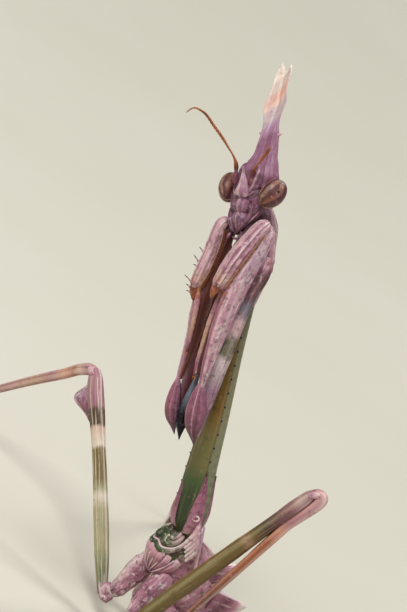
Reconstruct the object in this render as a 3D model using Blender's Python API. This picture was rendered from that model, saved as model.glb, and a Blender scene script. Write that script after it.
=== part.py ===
"""Conehead mantis, a late nymph of Empusa, standing still on four walking legs.

The animal faces -Y, its left side is +X and the floor is z = 0. Sizes below are in
millimetres; every mesh is scaled to metres when it is made. A direction is given as a
heading (0 forward, 90 to the animal's left, 180 back) and an elevation above the floor.
"""
import math

import bmesh
import bpy
import numpy as np

MM = 0.001
GAP = 0.15                 # clearance that every piece keeps to the next one
SIDES = 10                 # corners round a limb

# Trunk -----------------------------------------------------------------------
WAIST_HEIGHT = 10.0        # where the long neck shield meets the thorax
PROTHORAX_LENGTH = 22.1
PROTHORAX_AIM = (-56.0, 68.5)
PROTHORAX_ROLL = 14.0      # lean of its left side upwards
THORAX_PITCH = 40.0        # the winged thorax runs back and down
THORAX_START = 0.35
THORAX_JOINT = 4.35        # between its two rings
THORAX_LENGTH = 7.0
THORAX_SINK = 1.65         # its axis lies this far under the waist
WAIST_STEP = 1.2           # and climbs by this much at its front end
THORAX_HALF_WIDTH = 1.75
THORAX_HALF_DEPTH = 1.9
THORAX_BLUNT = 0.8         # its front end, as a share of its full size
WING_PADS = {"fore": (2.9, 2.7), "hind": (5.9, 2.8)}     # root along the thorax, reach behind
WING_PAD_ROOT = (-0.62, 1.0)     # below and beside the thorax line
WING_PAD_TIP = (-2.15, 1.35)
ABDOMEN_SEGMENTS = 9
ABDOMEN_HALF_WIDTH = 1.75
ABDOMEN_HALF_DEPTH = 1.45
ABDOMEN_LOBE = 1.22        # widening of the hind edge of a ring that carries leaf lobes
ABDOMEN_RING_STEPS = 8
CERCUS_LENGTH = 2.0

# Head ------------------------------------------------------------------------
HEAD_FORWARD = 1.95        # head centre ahead of the shield's end
HEAD_RISE = 0.95
HEAD_TILT = 12.0           # the face looks this far up
HEAD_ROLL = 31.0
FACE_TOP = 1.55            # vertex and mouth, from the head's centre
FACE_BOTTOM = -2.85
EYE_OUT = 2.02
EYE_UP = 0.36
EYE_AHEAD = 0.2
EYE_RADII = (0.66, 0.9, 1.14)
EYE_LEAN = (0.4, 0.3)      # lean of its long axis, back and outwards
SPINE_FOOT = (-0.05, 1.4)  # frontal spine: up and ahead of the head's centre
SPINE_TIP = (1.45, 1.85)
CROWN_LENGTH = 8.1
CROWN_LEAN = 12.0          # forward lean of the crown from the head's own upright
CROWN_BOW = 0.42           # and its forward bow at half height
CROWN_FOOT = (1.6, -0.42)  # up and ahead of the head's centre
CROWN_LEAF = 0.9           # share of the crown below its two tips
CROWN_TIP = 0.085
ANTENNA_RADIUS = 0.26

# Fore legs, folded: places are (along, below, beside) on the prothorax ---------
FORE_SHOULDER = (19.2, 1.1, 1.75)
FORE_COXA_TIP = (6.7, 1.85, 0.75)
FORE_HEEL = (6.0, 2.85, 1.15)
FORE_FEMUR_BASE = (10.5, 3.55, 1.35)
FORE_KNEE = (21.9, 1.75, 2.15)
FORE_KNEE_RIGHT = (21.0, 1.9, 1.3)
FORE_CLAW = (17.0, 4.3, 1.25)
FORE_TARSUS_LENGTH = 4.4
FORE_TIBIA_DROP = (1.3, 0.2)      # its start, out from the knee and back along the shield
FORE_TARSUS_ROOT = (0.62, 0.5)    # back from the claw and inwards
RIGHT_TUCK = 0.68          # the right leg is folded this much nearer the midline
FORE_COXA_BOW = 0.45       # bows of the two long joints, away from the shield
FORE_FEMUR_BOW = 0.45

# Walking legs: lengths shared by left and right --------------------------------
MID_LENGTHS = {"coxa": 3.3, "trochanter": 0.9, "femur": 17.0, "tibia": 15.0, "tarsus": 5.6}
HIND_LENGTHS = {"coxa": 3.0, "trochanter": 0.9, "femur": 17.4, "tibia": 17.2, "tarsus": 6.4}
MID_ROOT = (3.1, 3.3, 1.15)      # along, below and beside the thorax line
HIND_ROOT = (6.1, 3.7, 1.35)
TARSUS_RADIUS = 0.3
FLAT_DEPTH = 0.06                # how much of the sole is pressed flat
LEAF_LOBE = 1.7                  # drop of the leaf lobe near the knee, in half-depths
FOLDED_LOBE = 0.05               # the same on the sharply folded left middle leg

# coxa, femur and tibia of each walking leg as (heading, elevation), tarsus heading
STANCE = {
    "mid_right": {"coxa": (-7, -76), "femur": (-90, 36), "tibia": (-97, -46), "tarsus": -92},
    "mid_left": {"coxa": (28, -66), "femur": (131, 70), "tibia": (-50, -77), "tarsus": 48},
    "hind_right": {"coxa": (-140, -52), "femur": (-116, 50), "tibia": (-150, -54), "tarsus": -135},
    "hind_left": {"coxa": (122, -33), "femur": (135, 40), "tibia": (155, -43), "tarsus": 152},
}

# Finishes: colour, roughness, metallic ------------------------------------------
FINISH = {
    "mauve": ((0.36, 0.19, 0.22, 1), 0.5, 0.0),
    "rose": ((0.55, 0.31, 0.32, 1), 0.5, 0.0),
    "shield": ((0.30, 0.23, 0.10, 1), 0.45, 0.0),
    "olive": ((0.34, 0.30, 0.16, 1), 0.5, 0.0),
    "tan": ((0.50, 0.32, 0.20, 1), 0.5, 0.0),
    "rust": ((0.45, 0.16, 0.06, 1), 0.4, 0.0),
    "cream": ((0.75, 0.62, 0.52, 1), 0.5, 0.0),
    "eye": ((0.22, 0.12, 0.11, 1), 0.15, 0.0),
}


def aim(heading, elevation):
    """Unit vector from a heading and an elevation in degrees."""
    turn, lift = math.radians(heading), math.radians(elevation)
    flat = math.cos(lift)
    return np.array([math.sin(turn) * flat, -math.cos(turn) * flat, math.sin(lift)])


def unit(vector):
    return vector / np.linalg.norm(vector)


def axes(forward, roll):
    """Left and upper unit vectors of a body part that looks forward, rolled about it."""
    side = np.array([1.0, 0.0, 0.0])
    level = unit(side - forward * (forward @ side))
    upright = np.cross(forward, level)
    turn = math.radians(roll)
    left = math.cos(turn) * level + math.sin(turn) * upright
    return left, np.cross(forward, left)


def rise(t, *pairs):
    """Smooth curve through (place, value) pairs, flat-ended between neighbours' slopes."""
    x, y = np.array(pairs, float).T
    slope = np.gradient(y, x)
    t = np.clip(np.asarray(t, float), x[0], x[-1])
    i = np.clip(np.searchsorted(x, t) - 1, 0, len(x) - 2)
    span = x[i + 1] - x[i]
    s = (t - x[i]) / span
    h1, h2 = (1 + 2 * s) * (1 - s) ** 2, s * s * (3 - 2 * s)
    k1, k2 = s * (1 - s) ** 2, s * s * (s - 1)
    return h1 * y[i] + h2 * y[i + 1] + span * (k1 * slope[i] + k2 * slope[i + 1])


def through(points, count):
    """Evenly spaced places on a smooth curve through the points."""
    points = np.array(points, float)
    steps = np.linalg.norm(np.diff(points, axis=0), axis=1)
    at = np.concatenate([[0.0], np.cumsum(steps)])
    t = np.linspace(0.0, at[-1], count)
    return np.stack([rise(t, *zip(at, points[:, k])) for k in range(3)], axis=1)


def finish(name):
    """The Principled material of that name."""
    material = bpy.data.materials.get(name) or bpy.data.materials.new(name)
    colour, roughness, metallic = FINISH[name]
    material.use_nodes = True
    shader = material.node_tree.nodes["Principled BSDF"]
    shader.inputs["Base Color"].default_value = colour
    shader.inputs["Roughness"].default_value = roughness
    shader.inputs["Metallic"].default_value = metallic
    return material


def add(name, rings, first, last, look):
    """Closed object from rings of corners, capped by a pole at each end."""
    count, sides = len(rings), len(rings[0])
    corners = [first, *np.concatenate(rings), last]
    end = count * sides + 1
    faces = []
    for k in range(sides):
        n = (k + 1) % sides
        faces.append((0, 1 + n, 1 + k))
        faces.append((end, end - sides + k, end - sides + n))
        for r in range(count - 1):
            a, b = 1 + r * sides, 1 + (r + 1) * sides
            faces.append((a + k, a + n, b + n, b + k))
    mesh = bpy.data.meshes.new(name)
    mesh.from_pydata([tuple(c * MM) for c in corners], [], faces)
    solid = bmesh.new()
    solid.from_mesh(mesh)
    bmesh.ops.recalc_face_normals(solid, faces=solid.faces)
    solid.to_mesh(mesh)
    solid.free()
    mesh.shade_smooth()
    mesh.materials.append(finish(look))
    part = bpy.data.objects.new(name, mesh)
    bpy.context.collection.objects.link(part)
    return part


def limb(name, path, wide, deep, side, look, sides=SIDES, keel=0.0, hem=None, floor=None):
    """Tube along a path. wide(t) and deep(t) are its half-sizes along side and across it, keel
    lifts the upper edge and hem(t) drops the lower one to a ridge, floor flattens it."""
    path = np.array(path, float)
    t = np.linspace(0.0, 1.0, len(path))
    forward = np.gradient(path, axis=0)
    forward /= np.linalg.norm(forward, axis=1)[:, None]
    across = side - forward * (forward @ side)[:, None]
    across /= np.linalg.norm(across, axis=1)[:, None]
    upper = np.cross(forward, across)
    turn = np.linspace(0.0, 2 * math.pi, sides, endpoint=False)
    top, edge = np.clip(np.sin(turn), 0, 1) ** 6, np.clip(-np.sin(turn), 0, 1) ** 6
    rings = []
    for i in range(1, len(path) - 1):
        ridge = 1 + keel * top + (hem(t[i]) if hem else 0.0) * edge
        flank = across[i] * (wide(t[i]) * np.cos(turn))[:, None]
        ring = path[i] + flank + upper[i] * (deep(t[i]) * np.sin(turn) * ridge)[:, None]
        if floor is not None:
            ring[:, 2] = np.maximum(ring[:, 2], floor)
        rings.append(ring)
    return add(name, rings, path[0], path[-1], look)


def straight(start, end, count=9, bow=0.0, way=None):
    """Points from start to end, crowded at both tips, bowed sideways along way."""
    t = 0.5 - 0.5 * np.cos(np.linspace(0.0, math.pi, count))
    line = np.array(start) + np.outer(t, np.array(end) - np.array(start))
    if way is not None:
        line = line + np.outer(bow * np.sin(math.pi * t), way)
    return line


def shorten(start, end, first=GAP, last=GAP):
    """The same stretch with a clearance taken off each end."""
    way = unit(end - start)
    return start + first * way, end - last * way


def spindle(*pairs):
    """Half-size along a limb as a function of the place from 0 to 1."""
    return lambda t: float(rise(t, *pairs))


# Places of the trunk -----------------------------------------------------------
WAIST = np.array([0.0, 0.0, WAIST_HEIGHT])
SHIELD_AIM = aim(*PROTHORAX_AIM)
SHIELD_LEFT, SHIELD_BACK = axes(SHIELD_AIM, PROTHORAX_ROLL)
THORAX_AIM = aim(180.0, -THORAX_PITCH)
THORAX_LEFT = np.array([1.0, 0.0, 0.0])
THORAX_BELOW = aim(0.0, -90.0 + THORAX_PITCH)
HEAD_AIM = aim(0.0, HEAD_TILT)
HEAD_LEFT, HEAD_UP = axes(HEAD_AIM, HEAD_ROLL)
SHIELD_END = WAIST + PROTHORAX_LENGTH * SHIELD_AIM
HEAD = SHIELD_END + HEAD_FORWARD * aim(0.0, 0.0) + np.array([0.0, 0.0, HEAD_RISE])


def on_shield(place, side=1):
    """World place from (along, below, beside) on the prothorax; side -1 is the right."""
    along, below, beside = place
    return WAIST + along * SHIELD_AIM - below * SHIELD_BACK + side * beside * SHIELD_LEFT


def on_thorax(along, below, beside):
    return WAIST + along * THORAX_AIM + below * THORAX_BELOW + beside * THORAX_LEFT


def on_head(left, up, ahead):
    return HEAD + left * HEAD_LEFT + up * HEAD_UP + ahead * HEAD_AIM


# Trunk ---------------------------------------------------------------------------
def prothorax():
    """Long neck shield: a thin stalk, the swelling over the fore legs, the front lobe."""
    path = straight(WAIST, SHIELD_END - GAP * 2 * SHIELD_AIM, 22, 0.2, SHIELD_LEFT)
    wide = spindle((0, 1.3), (0.1, 1.2), (0.3, 0.98), (0.6, 0.8), (0.75, 0.95), (0.845, 1.6),
                   (0.9, 1.35), (0.96, 1.15), (1, 0.8))
    deep = spindle((0, 1.15), (0.3, 0.85), (0.6, 0.68), (0.84, 0.85), (0.95, 0.8), (1, 0.55))
    limb("prothorax", path, wide, deep, SHIELD_LEFT, "shield", 12, keel=0.18)


def thorax():
    """The two short rings that carry the walking legs and the wing pads."""
    lengths = (("mesothorax", THORAX_START, THORAX_JOINT), ("metathorax", THORAX_JOINT + GAP, THORAX_LENGTH))
    for name, first, last in lengths:
        ends = [on_thorax(along, THORAX_SINK, 0.0) for along in (first, last)]
        path = straight(*ends, 9)
        wide = spindle((0, THORAX_HALF_WIDTH * THORAX_BLUNT), (0.4, THORAX_HALF_WIDTH),
                       (1, THORAX_HALF_WIDTH * 0.95))
        deep = spindle((0, THORAX_HALF_DEPTH * THORAX_BLUNT), (0.5, THORAX_HALF_DEPTH),
                       (1, THORAX_HALF_DEPTH * 0.9))
        if name == "mesothorax":
            path = path - np.outer(WAIST_STEP * np.linspace(1, 0, len(path)) ** 2, THORAX_BELOW)
        limb(name, path, wide, deep, THORAX_LEFT, "rose", 14)


def wing_pads():
    """Four small leaf-shaped pads that stand off the back, tips behind."""
    for side, word in ((1, "left"), (-1, "right")):
        for rank, (along, reach) in WING_PADS.items():
            root = on_thorax(along, WING_PAD_ROOT[0], side * WING_PAD_ROOT[1])
            tip = on_thorax(along + reach, WING_PAD_TIP[0], side * WING_PAD_TIP[1])
            path = straight(root, tip, 8, 0.2, THORAX_BELOW)
            wide = spindle((0, 0.55), (0.35, 0.85), (0.75, 0.6), (1, 0.3))
            flat = spindle((0, 0.27), (0.6, 0.27), (1, 0.25))
            way = unit(THORAX_LEFT * 0.95 + side * THORAX_BELOW * 0.3)
            limb(f"wing_pad_{rank}_{word}", path, wide, flat, way, "rose", 8)


def abdomen_line():
    """Centre line: low behind the thorax, then curling up at the tip."""
    stern = on_thorax(THORAX_LENGTH + GAP, THORAX_SINK, 0.0)
    offsets = ((0, 0, 0), (0.1, 3.4, -1.25), (0.4, 7.7, -1.75), (1.1, 12.2, -1.4), (2.0, 16.2, 0.5),
               (2.6, 18.9, 3.8), (2.8, 19.3, 7.4), (2.5, 18.1, 10.0))
    return [stern + np.array(step) for step in offsets]


def abdomen():
    """Nine rings; a pair of leaf lobes hangs from the hind edge of each middle ring."""
    steps = ABDOMEN_RING_STEPS
    line = through(abdomen_line(), 1 + ABDOMEN_SEGMENTS * steps)
    size = spindle((0, 0.78), (0.2, 1.0), (0.5, 1.0), (0.8, 0.72), (1, 0.42))
    for k in range(ABDOMEN_SEGMENTS):
        path = line[k * steps:(k + 1) * steps + 1].copy()
        path[-1] -= GAP * unit(path[-1] - path[-2])
        place = (k + 0.5) / ABDOMEN_SEGMENTS
        here = size(place)
        lobe = ABDOMEN_LOBE if 1 <= k <= 6 else 1.05
        wide = spindle((0, ABDOMEN_HALF_WIDTH * here * 0.92), (0.55, ABDOMEN_HALF_WIDTH * here),
                       (0.88, ABDOMEN_HALF_WIDTH * here * lobe), (1, ABDOMEN_HALF_WIDTH * here * 0.9))
        deep = spindle((0, ABDOMEN_HALF_DEPTH * here * 0.86), (0.6, ABDOMEN_HALF_DEPTH * here),
                       (1, ABDOMEN_HALF_DEPTH * here * 0.86))
        limb(f"abdomen_{k + 1}", path, wide, deep, THORAX_LEFT, "rose", 12)
    tail = unit(line[-1] - line[-2])
    for side, word in ((1, "left"), (-1, "right")):
        root = line[-1] + 0.25 * tail + side * 0.42 * THORAX_LEFT
        tip = root + CERCUS_LENGTH * (tail + side * 0.45 * THORAX_LEFT)
        path = straight(root, tip, 6)
        thick = spindle((0, 0.27), (0.5, 0.28), (1, 0.26))
        limb(f"cercus_{word}", path, thick, thick, HEAD_LEFT, "rose", 7)


# Head --------------------------------------------------------------------------
def neck():
    back = on_head(0.0, -0.1, -1.2)
    start, end = shorten(SHIELD_END, back, 0.25, 0.2)
    path = straight(start, end, 6)
    thick = spindle((0, 0.5), (0.5, 0.62), (1, 0.6))
    limb("neck", path, thick, thick, SHIELD_LEFT, "mauve", 10)


def head():
    """Wedge from mouth to vertex, hollowed at both sides for the eyes."""
    path = straight(on_head(0, FACE_BOTTOM, 0.25), on_head(0, FACE_TOP, -0.35), 14)
    wide = spindle((0, 0.3), (0.12, 0.62), (0.35, 1.15), (0.62, 1.62), (0.8, 1.55), (1, 1.0))
    deep = spindle((0, 0.35), (0.2, 0.75), (0.5, 1.1), (0.8, 1.05), (1, 0.7))
    solid = limb("head", path, wide, deep, HEAD_LEFT, "mauve", 16)
    for side, word in ((1, "left"), (-1, "right")):
        socket = eyeball(f"socket_{word}", side, GAP)
        socket.hide_render = True
        socket.display_type = "WIRE"
        cut = solid.modifiers.new(f"socket_{word}", "BOOLEAN")
        cut.operation = "DIFFERENCE"
        cut.object = socket


def eyeball(name, side, grow):
    """Egg-shaped eye, its long axis leaning out and back at the top."""
    upright = unit(HEAD_UP - EYE_LEAN[0] * HEAD_AIM + EYE_LEAN[1] * side * HEAD_LEFT)
    centre = on_head(side * EYE_OUT, EYE_UP, EYE_AHEAD)
    out, ahead, tall = (radius + grow for radius in EYE_RADII)
    path = straight(centre - tall * upright, centre + tall * upright, 11)
    return limb(name, path, lambda t: out * math.sin(math.pi * t), lambda t: ahead * math.sin(math.pi * t),
                HEAD_LEFT, "eye", 14)


def crown():
    """Horn of the vertex: a ridged cone, then a cupped leaf with a forked tip."""
    lean = math.radians(CROWN_LEAN)
    way = math.cos(lean) * HEAD_UP + math.sin(lean) * HEAD_AIM
    start = on_head(0, *CROWN_FOOT) + GAP * way
    end = start + CROWN_LENGTH * CROWN_LEAF * way - 0.25 * HEAD_AIM
    path = straight(start, end, 16, CROWN_BOW, HEAD_AIM)
    wide = spindle((0, 1.35), (0.1, 1.3), (0.2, 1.1), (0.33, 0.92), (0.47, 0.68), (0.55, 0.72),
                   (0.66, 0.87), (0.76, 0.86), (0.88, 0.68), (1, 0.5))
    deep = spindle((0, 0.78), (0.2, 0.6), (0.35, 0.46), (0.5, 0.36), (0.63, 0.28), (1, 0.26))
    limb("crown", path, wide, deep, HEAD_LEFT, "cream", 10)
    for side, word in ((1, "left"), (-1, "right")):
        root = end + GAP * way + side * 0.36 * HEAD_LEFT
        tip = root + CROWN_LENGTH * CROWN_TIP * way + side * 0.2 * HEAD_LEFT
        thick = spindle((0, 0.25), (0.5, 0.25), (1, 0.22))
        limb(f"crown_tip_{word}", straight(root, tip, 5), thick, thick, HEAD_LEFT, "cream", 7)


def frontal_spine():
    """Blade that rises from the frontal shield between the feelers."""
    path = straight(on_head(0, *SPINE_FOOT), on_head(0, *SPINE_TIP), 7)
    wide = spindle((0, 0.44), (0.3, 0.34), (0.8, 0.27), (1, 0.2))
    thick = spindle((0, 0.27), (1, 0.25))
    limb("frontal_spine", path, wide, thick, HEAD_LEFT, "rose", 8)


def antennae():
    """Short thread-like feelers of a nymph, in a gentle arc."""
    routes = {
        -1: ((-0.7, 0.6, 1.4), (-0.75, 1.55, 1.65), (-0.95, 2.4, 3.05), (-1.25, 3.05, 4.5),
             (-1.6, 3.55, 5.8), (-1.85, 3.5, 6.4), (-2.1, 3.0, 6.7)),
        1: ((0.75, 0.5, 1.4), (0.95, 1.15, 1.6), (1.9, 1.6, 2.35), (3.2, 2.1, 3.6), (4.3, 2.1, 4.6),
            (4.8, 1.8, 5.1)),
    }
    for side, word in ((1, "left"), (-1, "right")):
        path = through([on_head(*place) for place in routes[side]], 14)
        thick = spindle((0, ANTENNA_RADIUS * 1.25), (0.2, ANTENNA_RADIUS), (1, ANTENNA_RADIUS * 0.96))
        limb(f"antenna_{word}", path, thick, thick, HEAD_UP, "rust", 6)


# Fore legs -----------------------------------------------------------------------
def fore_leg(side, word):
    """Folded catching leg: coxa down along the shield, femur up again, tibia closed."""
    blade = unit(-SHIELD_BACK)
    tuck = side if side > 0 else side * RIGHT_TUCK
    shoulder, coxa_tip = on_shield(FORE_SHOULDER, side), on_shield(FORE_COXA_TIP, tuck)
    heel, base = on_shield(FORE_HEEL, tuck), on_shield(FORE_FEMUR_BASE, tuck)
    knee = on_shield(FORE_KNEE if side > 0 else FORE_KNEE_RIGHT, tuck)
    claw = on_shield(FORE_CLAW, tuck)
    coxa_wide = spindle((0, 0.55), (0.2, 0.68), (0.6, 0.68), (0.85, 0.5), (1, 0.3))
    coxa_thick = spindle((0, 0.4), (0.3, 0.42), (1, 0.3))
    path = straight(shoulder, coxa_tip, 12, FORE_COXA_BOW, blade)
    limb(f"fore_coxa_{word}", path, coxa_wide, coxa_thick, blade, "mauve")
    bulb = spindle((0, 0.28), (0.25, 0.66), (0.55, 0.7), (1, 0.36))
    slim = spindle((0, 0.28), (0.4, 0.5), (1, 0.32))
    limb(f"fore_trochanter_{word}", straight(heel, base, 9), bulb, slim, blade, "mauve")
    start, end = shorten(base, knee, GAP * 1.6, 0.0)
    femur_wide = spindle((0, 0.36), (0.25, 0.62), (0.5, 0.7), (0.85, 0.52), (1, 0.42))
    femur_thick = spindle((0, 0.32), (0.4, 0.42), (0.8, 0.4), (1, 0.32))
    path = straight(start, end, 12, FORE_FEMUR_BOW, blade)
    limb(f"fore_femur_{word}", path, femur_wide, femur_thick, blade, "rose")
    start = knee + FORE_TIBIA_DROP[0] * blade - FORE_TIBIA_DROP[1] * SHIELD_AIM
    tibia_wide = spindle((0, 0.45), (0.3, 0.56), (0.6, 0.54), (0.85, 0.4), (1, 0.26))
    tibia_thick = spindle((0, 0.4), (0.4, 0.46), (0.8, 0.38), (1, 0.26))
    limb(f"fore_tibia_{word}", straight(start, claw, 9), tibia_wide, tibia_thick, blade, "rose")
    start = claw - FORE_TARSUS_ROOT[0] * SHIELD_AIM - side * FORE_TARSUS_ROOT[1] * SHIELD_LEFT
    end = start - FORE_TARSUS_LENGTH * unit(SHIELD_AIM + 0.03 * blade)
    thin = spindle((0, 0.26), (1, 0.25))
    limb(f"fore_tarsus_{word}", straight(start, end, 7), thin, thin, blade, "rust", 7)


# Walking legs --------------------------------------------------------------------
def walking_leg(name, root, lengths, stance):
    """Coxa, trochanter, femur, tibia and a tarsus that reaches down to a flat sole."""
    side = 1 if name.endswith("left") else -1
    rank, word = name.split("_")
    hip = on_thorax(root[0], root[1], side * root[2])
    coxa_aim, femur_aim, tibia_aim = (aim(*stance[key]) for key in ("coxa", "femur", "tibia"))
    ankle_side = unit(np.cross(femur_aim, tibia_aim))
    coxa_end = hip + lengths["coxa"] * coxa_aim
    joint = coxa_end + lengths["trochanter"] * unit(coxa_aim + 0.8 * femur_aim)
    knee = joint + lengths["femur"] * femur_aim
    ankle = knee + lengths["tibia"] * tibia_aim

    start, end = shorten(hip, coxa_end, 0.0, GAP)
    plump = spindle((0, 0.6), (0.3, 0.8), (0.7, 0.68), (1, 0.4))
    limb(f"{rank}_coxa_{word}", straight(start, end, 8), plump, plump, ankle_side, "rose")
    start, end = shorten(coxa_end, joint, 0.3, GAP)
    knob = spindle((0, 0.36), (0.5, 0.45), (1, 0.36))
    limb(f"{rank}_trochanter_{word}", straight(start, end, 6), knob, knob, ankle_side, "mauve", 8)
    start, end = shorten(joint, knee, 0.45, 0.35)
    thigh = spindle((0, 0.4), (0.2, 0.52), (0.55, 0.45), (0.86, 0.42), (0.93, 0.56), (1, 0.45))
    thin = spindle((0, 0.36), (0.2, 0.42), (0.6, 0.36), (1, 0.36))
    path = straight(start, end, 14)
    drop = FOLDED_LOBE if name == "mid_left" else LEAF_LOBE
    leaf = spindle((0, 0.0), (0.79, 0.0), (0.84, 0.6 * drop), (0.9, drop), (0.95, 0.5 * drop), (1, 0.0))
    limb(f"{rank}_femur_{word}", path, thin, thigh, ankle_side, "olive", 8, hem=leaf)
    start = knee + 0.3 * femur_aim + 0.88 * unit(tibia_aim - femur_aim * (femur_aim @ tibia_aim))
    start, end = shorten(start, ankle, 0.0, 0.1)
    shin = spindle((0, 0.36), (0.08, 0.34), (0.5, 0.3), (1, 0.29))
    path = straight(start, end, 10, 0.2, unit(femur_aim - tibia_aim))
    limb(f"{rank}_tibia_{word}", path, shin, shin, ankle_side, "tan", 8)
    tarsus(f"{rank}_tarsus_{word}", ankle, tibia_aim, stance["tarsus"], lengths["tarsus"])


def tarsus(name, ankle, tibia_aim, heading, length):
    """Foot that leaves the ankle, bends and lies along the floor on a flat sole."""
    rest = TARSUS_RADIUS - FLAT_DEPTH
    away = aim(heading, 0.0)
    start = ankle + 0.3 * unit(tibia_aim + 0.6 * away)
    drop = start[2] - rest
    slope = math.asin(min(0.9, drop / (0.62 * length)))
    touch = start + drop / math.tan(slope) * away - np.array([0.0, 0.0, drop])
    end = touch + max(1.4, length - drop / math.sin(slope)) * away
    knots = [start, start + 0.55 * (touch - start), touch, 0.5 * (touch + end), end]
    path = through(knots, 13)
    path[:, 2] = np.maximum(path[:, 2], rest)
    thick = spindle((0, TARSUS_RADIUS * 0.95), (0.5, TARSUS_RADIUS), (1, TARSUS_RADIUS * 0.9))
    limb(name, path, thick, thick, unit(np.cross(away, np.array([0.0, 0.0, 1.0]))), "tan", 8, floor=0.0)


def settle():
    """Hang every piece on one empty that puts the model's footprint centre at the origin."""
    shown = [part for part in bpy.data.objects if not part.hide_render]
    corners = np.array([tuple(v.co) for part in shown for v in part.data.vertices])
    low, high = corners.min(axis=0), corners.max(axis=0)
    stand = bpy.data.objects.new("mantis", None)
    bpy.context.collection.objects.link(stand)
    stand.location = (-(low[0] + high[0]) / 2, -(low[1] + high[1]) / 2, -low[2])
    for part in list(bpy.data.objects):
        if part is not stand:
            part.parent = stand


def main():
    for old in list(bpy.data.objects):
        bpy.data.objects.remove(old)
    prothorax()
    thorax()
    wing_pads()
    abdomen()
    neck()
    head()
    for side, word in ((1, "left"), (-1, "right")):
        eyeball(f"eye_{word}", side, 0.0)
        fore_leg(side, word)
    crown()
    frontal_spine()
    antennae()
    for name, stance in STANCE.items():
        mid = name.startswith("mid")
        walking_leg(name, MID_ROOT if mid else HIND_ROOT, MID_LENGTHS if mid else HIND_LENGTHS, stance)
    settle()


main()
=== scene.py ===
"""Looks for the conehead mantis nymph: skins, eyes, crown, spines, studio and camera.

Sizes are millimetres. The animal faces -Y, its left side is +X and the floor is z = 0.
Every piece is a surface over two numbers: t runs along it from 0 to 1 and u runs round it.
A profile is a run of (t, size) pairs; ridges are (degrees, height, width) bells round a piece.
"""
import math

import bpy
import numpy as np
from bpy.props import FloatProperty, PointerProperty
from mathutils import Matrix


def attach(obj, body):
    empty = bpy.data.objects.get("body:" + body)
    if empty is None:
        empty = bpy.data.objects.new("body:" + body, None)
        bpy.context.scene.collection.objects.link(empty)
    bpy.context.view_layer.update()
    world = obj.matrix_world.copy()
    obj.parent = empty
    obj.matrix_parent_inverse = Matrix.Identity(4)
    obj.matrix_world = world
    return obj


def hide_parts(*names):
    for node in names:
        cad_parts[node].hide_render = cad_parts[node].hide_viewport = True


bl_info = {
    "name": "Conehead mantis",
    "version": (1, 0, 0),
    "blender": (4, 5, 0),
    "location": "3D View > Sidebar > Mantis",
    "description": "Builds the visible pieces of a conehead mantis nymph round its solid frame",
    "category": "Object",
}

MM = 0.001
TURN = 2 * math.pi
SIDES = (("left", 1), ("right", -1))

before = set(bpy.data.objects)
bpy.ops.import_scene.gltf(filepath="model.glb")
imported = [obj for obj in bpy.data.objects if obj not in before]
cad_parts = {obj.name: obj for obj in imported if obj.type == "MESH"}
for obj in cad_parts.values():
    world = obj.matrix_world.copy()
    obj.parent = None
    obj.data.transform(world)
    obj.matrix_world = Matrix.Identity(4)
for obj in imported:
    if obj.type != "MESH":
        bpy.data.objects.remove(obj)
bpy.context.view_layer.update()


# Directions and curves ---------------------------------------------------------------
def unit(vector):
    """The vector over its own length."""
    return vector / np.linalg.norm(vector)


def aim(heading, elevation):
    """Unit vector: heading 0 ahead, 90 to the animal's left; elevation above the floor."""
    turn, lift = math.radians(heading), math.radians(elevation)
    flat = math.cos(lift)
    return np.array([math.sin(turn) * flat, -math.cos(turn) * flat, math.sin(lift)])


def rise(t, *pairs):
    """Smooth curve through (place, value) pairs: cubics that share slopes at the pairs."""
    x, y = np.array(pairs, float).T
    slope = np.gradient(y, x)
    t = np.clip(np.asarray(t, float), x[0], x[-1])
    i = np.clip(np.searchsorted(x, t) - 1, 0, len(x) - 2)
    span = x[i + 1] - x[i]
    s = (t - x[i]) / span
    h1, h2 = (1 + 2 * s) * (1 - s) ** 2, s * s * (3 - 2 * s)
    k1, k2 = s * (1 - s) ** 2, s * s * (s - 1)
    return h1 * y[i] + h2 * y[i + 1] + span * (k1 * slope[i] + k2 * slope[i + 1])


def spread(count, *pairs):
    """The profile at each of count rings, as one column."""
    return rise(np.linspace(0, 1, count), *pairs)[:, None]


def bump(value, centre, width):
    """Bell of height one at the centre."""
    return np.exp(-(((value - centre) / width) ** 2))


def around(u, centre, width):
    """Bell over the angle u, in degrees, that wraps past a full turn."""
    return bump((np.degrees(u) - centre + 180.0) % 360.0 - 180.0, 0.0, width)


def through(points, count, ease=0.0):
    """Places on a smooth curve through the points, even or crowded at both ends."""
    points = np.array(points, float)
    steps = np.linalg.norm(np.diff(points, axis=0), axis=1)
    at = np.concatenate([[0.0], np.cumsum(steps)])
    t = np.linspace(0.0, 1.0, count)
    t = (1 - ease) * t + ease * (0.5 - 0.5 * np.cos(math.pi * t))
    return np.stack([rise(t * at[-1], *zip(at, points[:, k])) for k in range(3)], axis=1)


def curve(place, count, *spots, ease=0.0):
    """Smooth path through spots given on the own axes of one part of the body."""
    return through([place(*spot) for spot in spots], count, ease)


# Places on the frame -------------------------------------------------------------------
def corners(node):
    """Corners of a frame node, in millimetres."""
    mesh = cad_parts[node].data
    flat = np.zeros(len(mesh.vertices) * 3, np.float32)
    mesh.vertices.foreach_get("co", flat)
    return flat.reshape(-1, 3).astype(float) / MM


def middle(node):
    """Middle of a node: halfway between its lowest and highest corners on each axis."""
    places = corners(node)
    return (places.min(axis=0) + places.max(axis=0)) / 2


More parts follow.
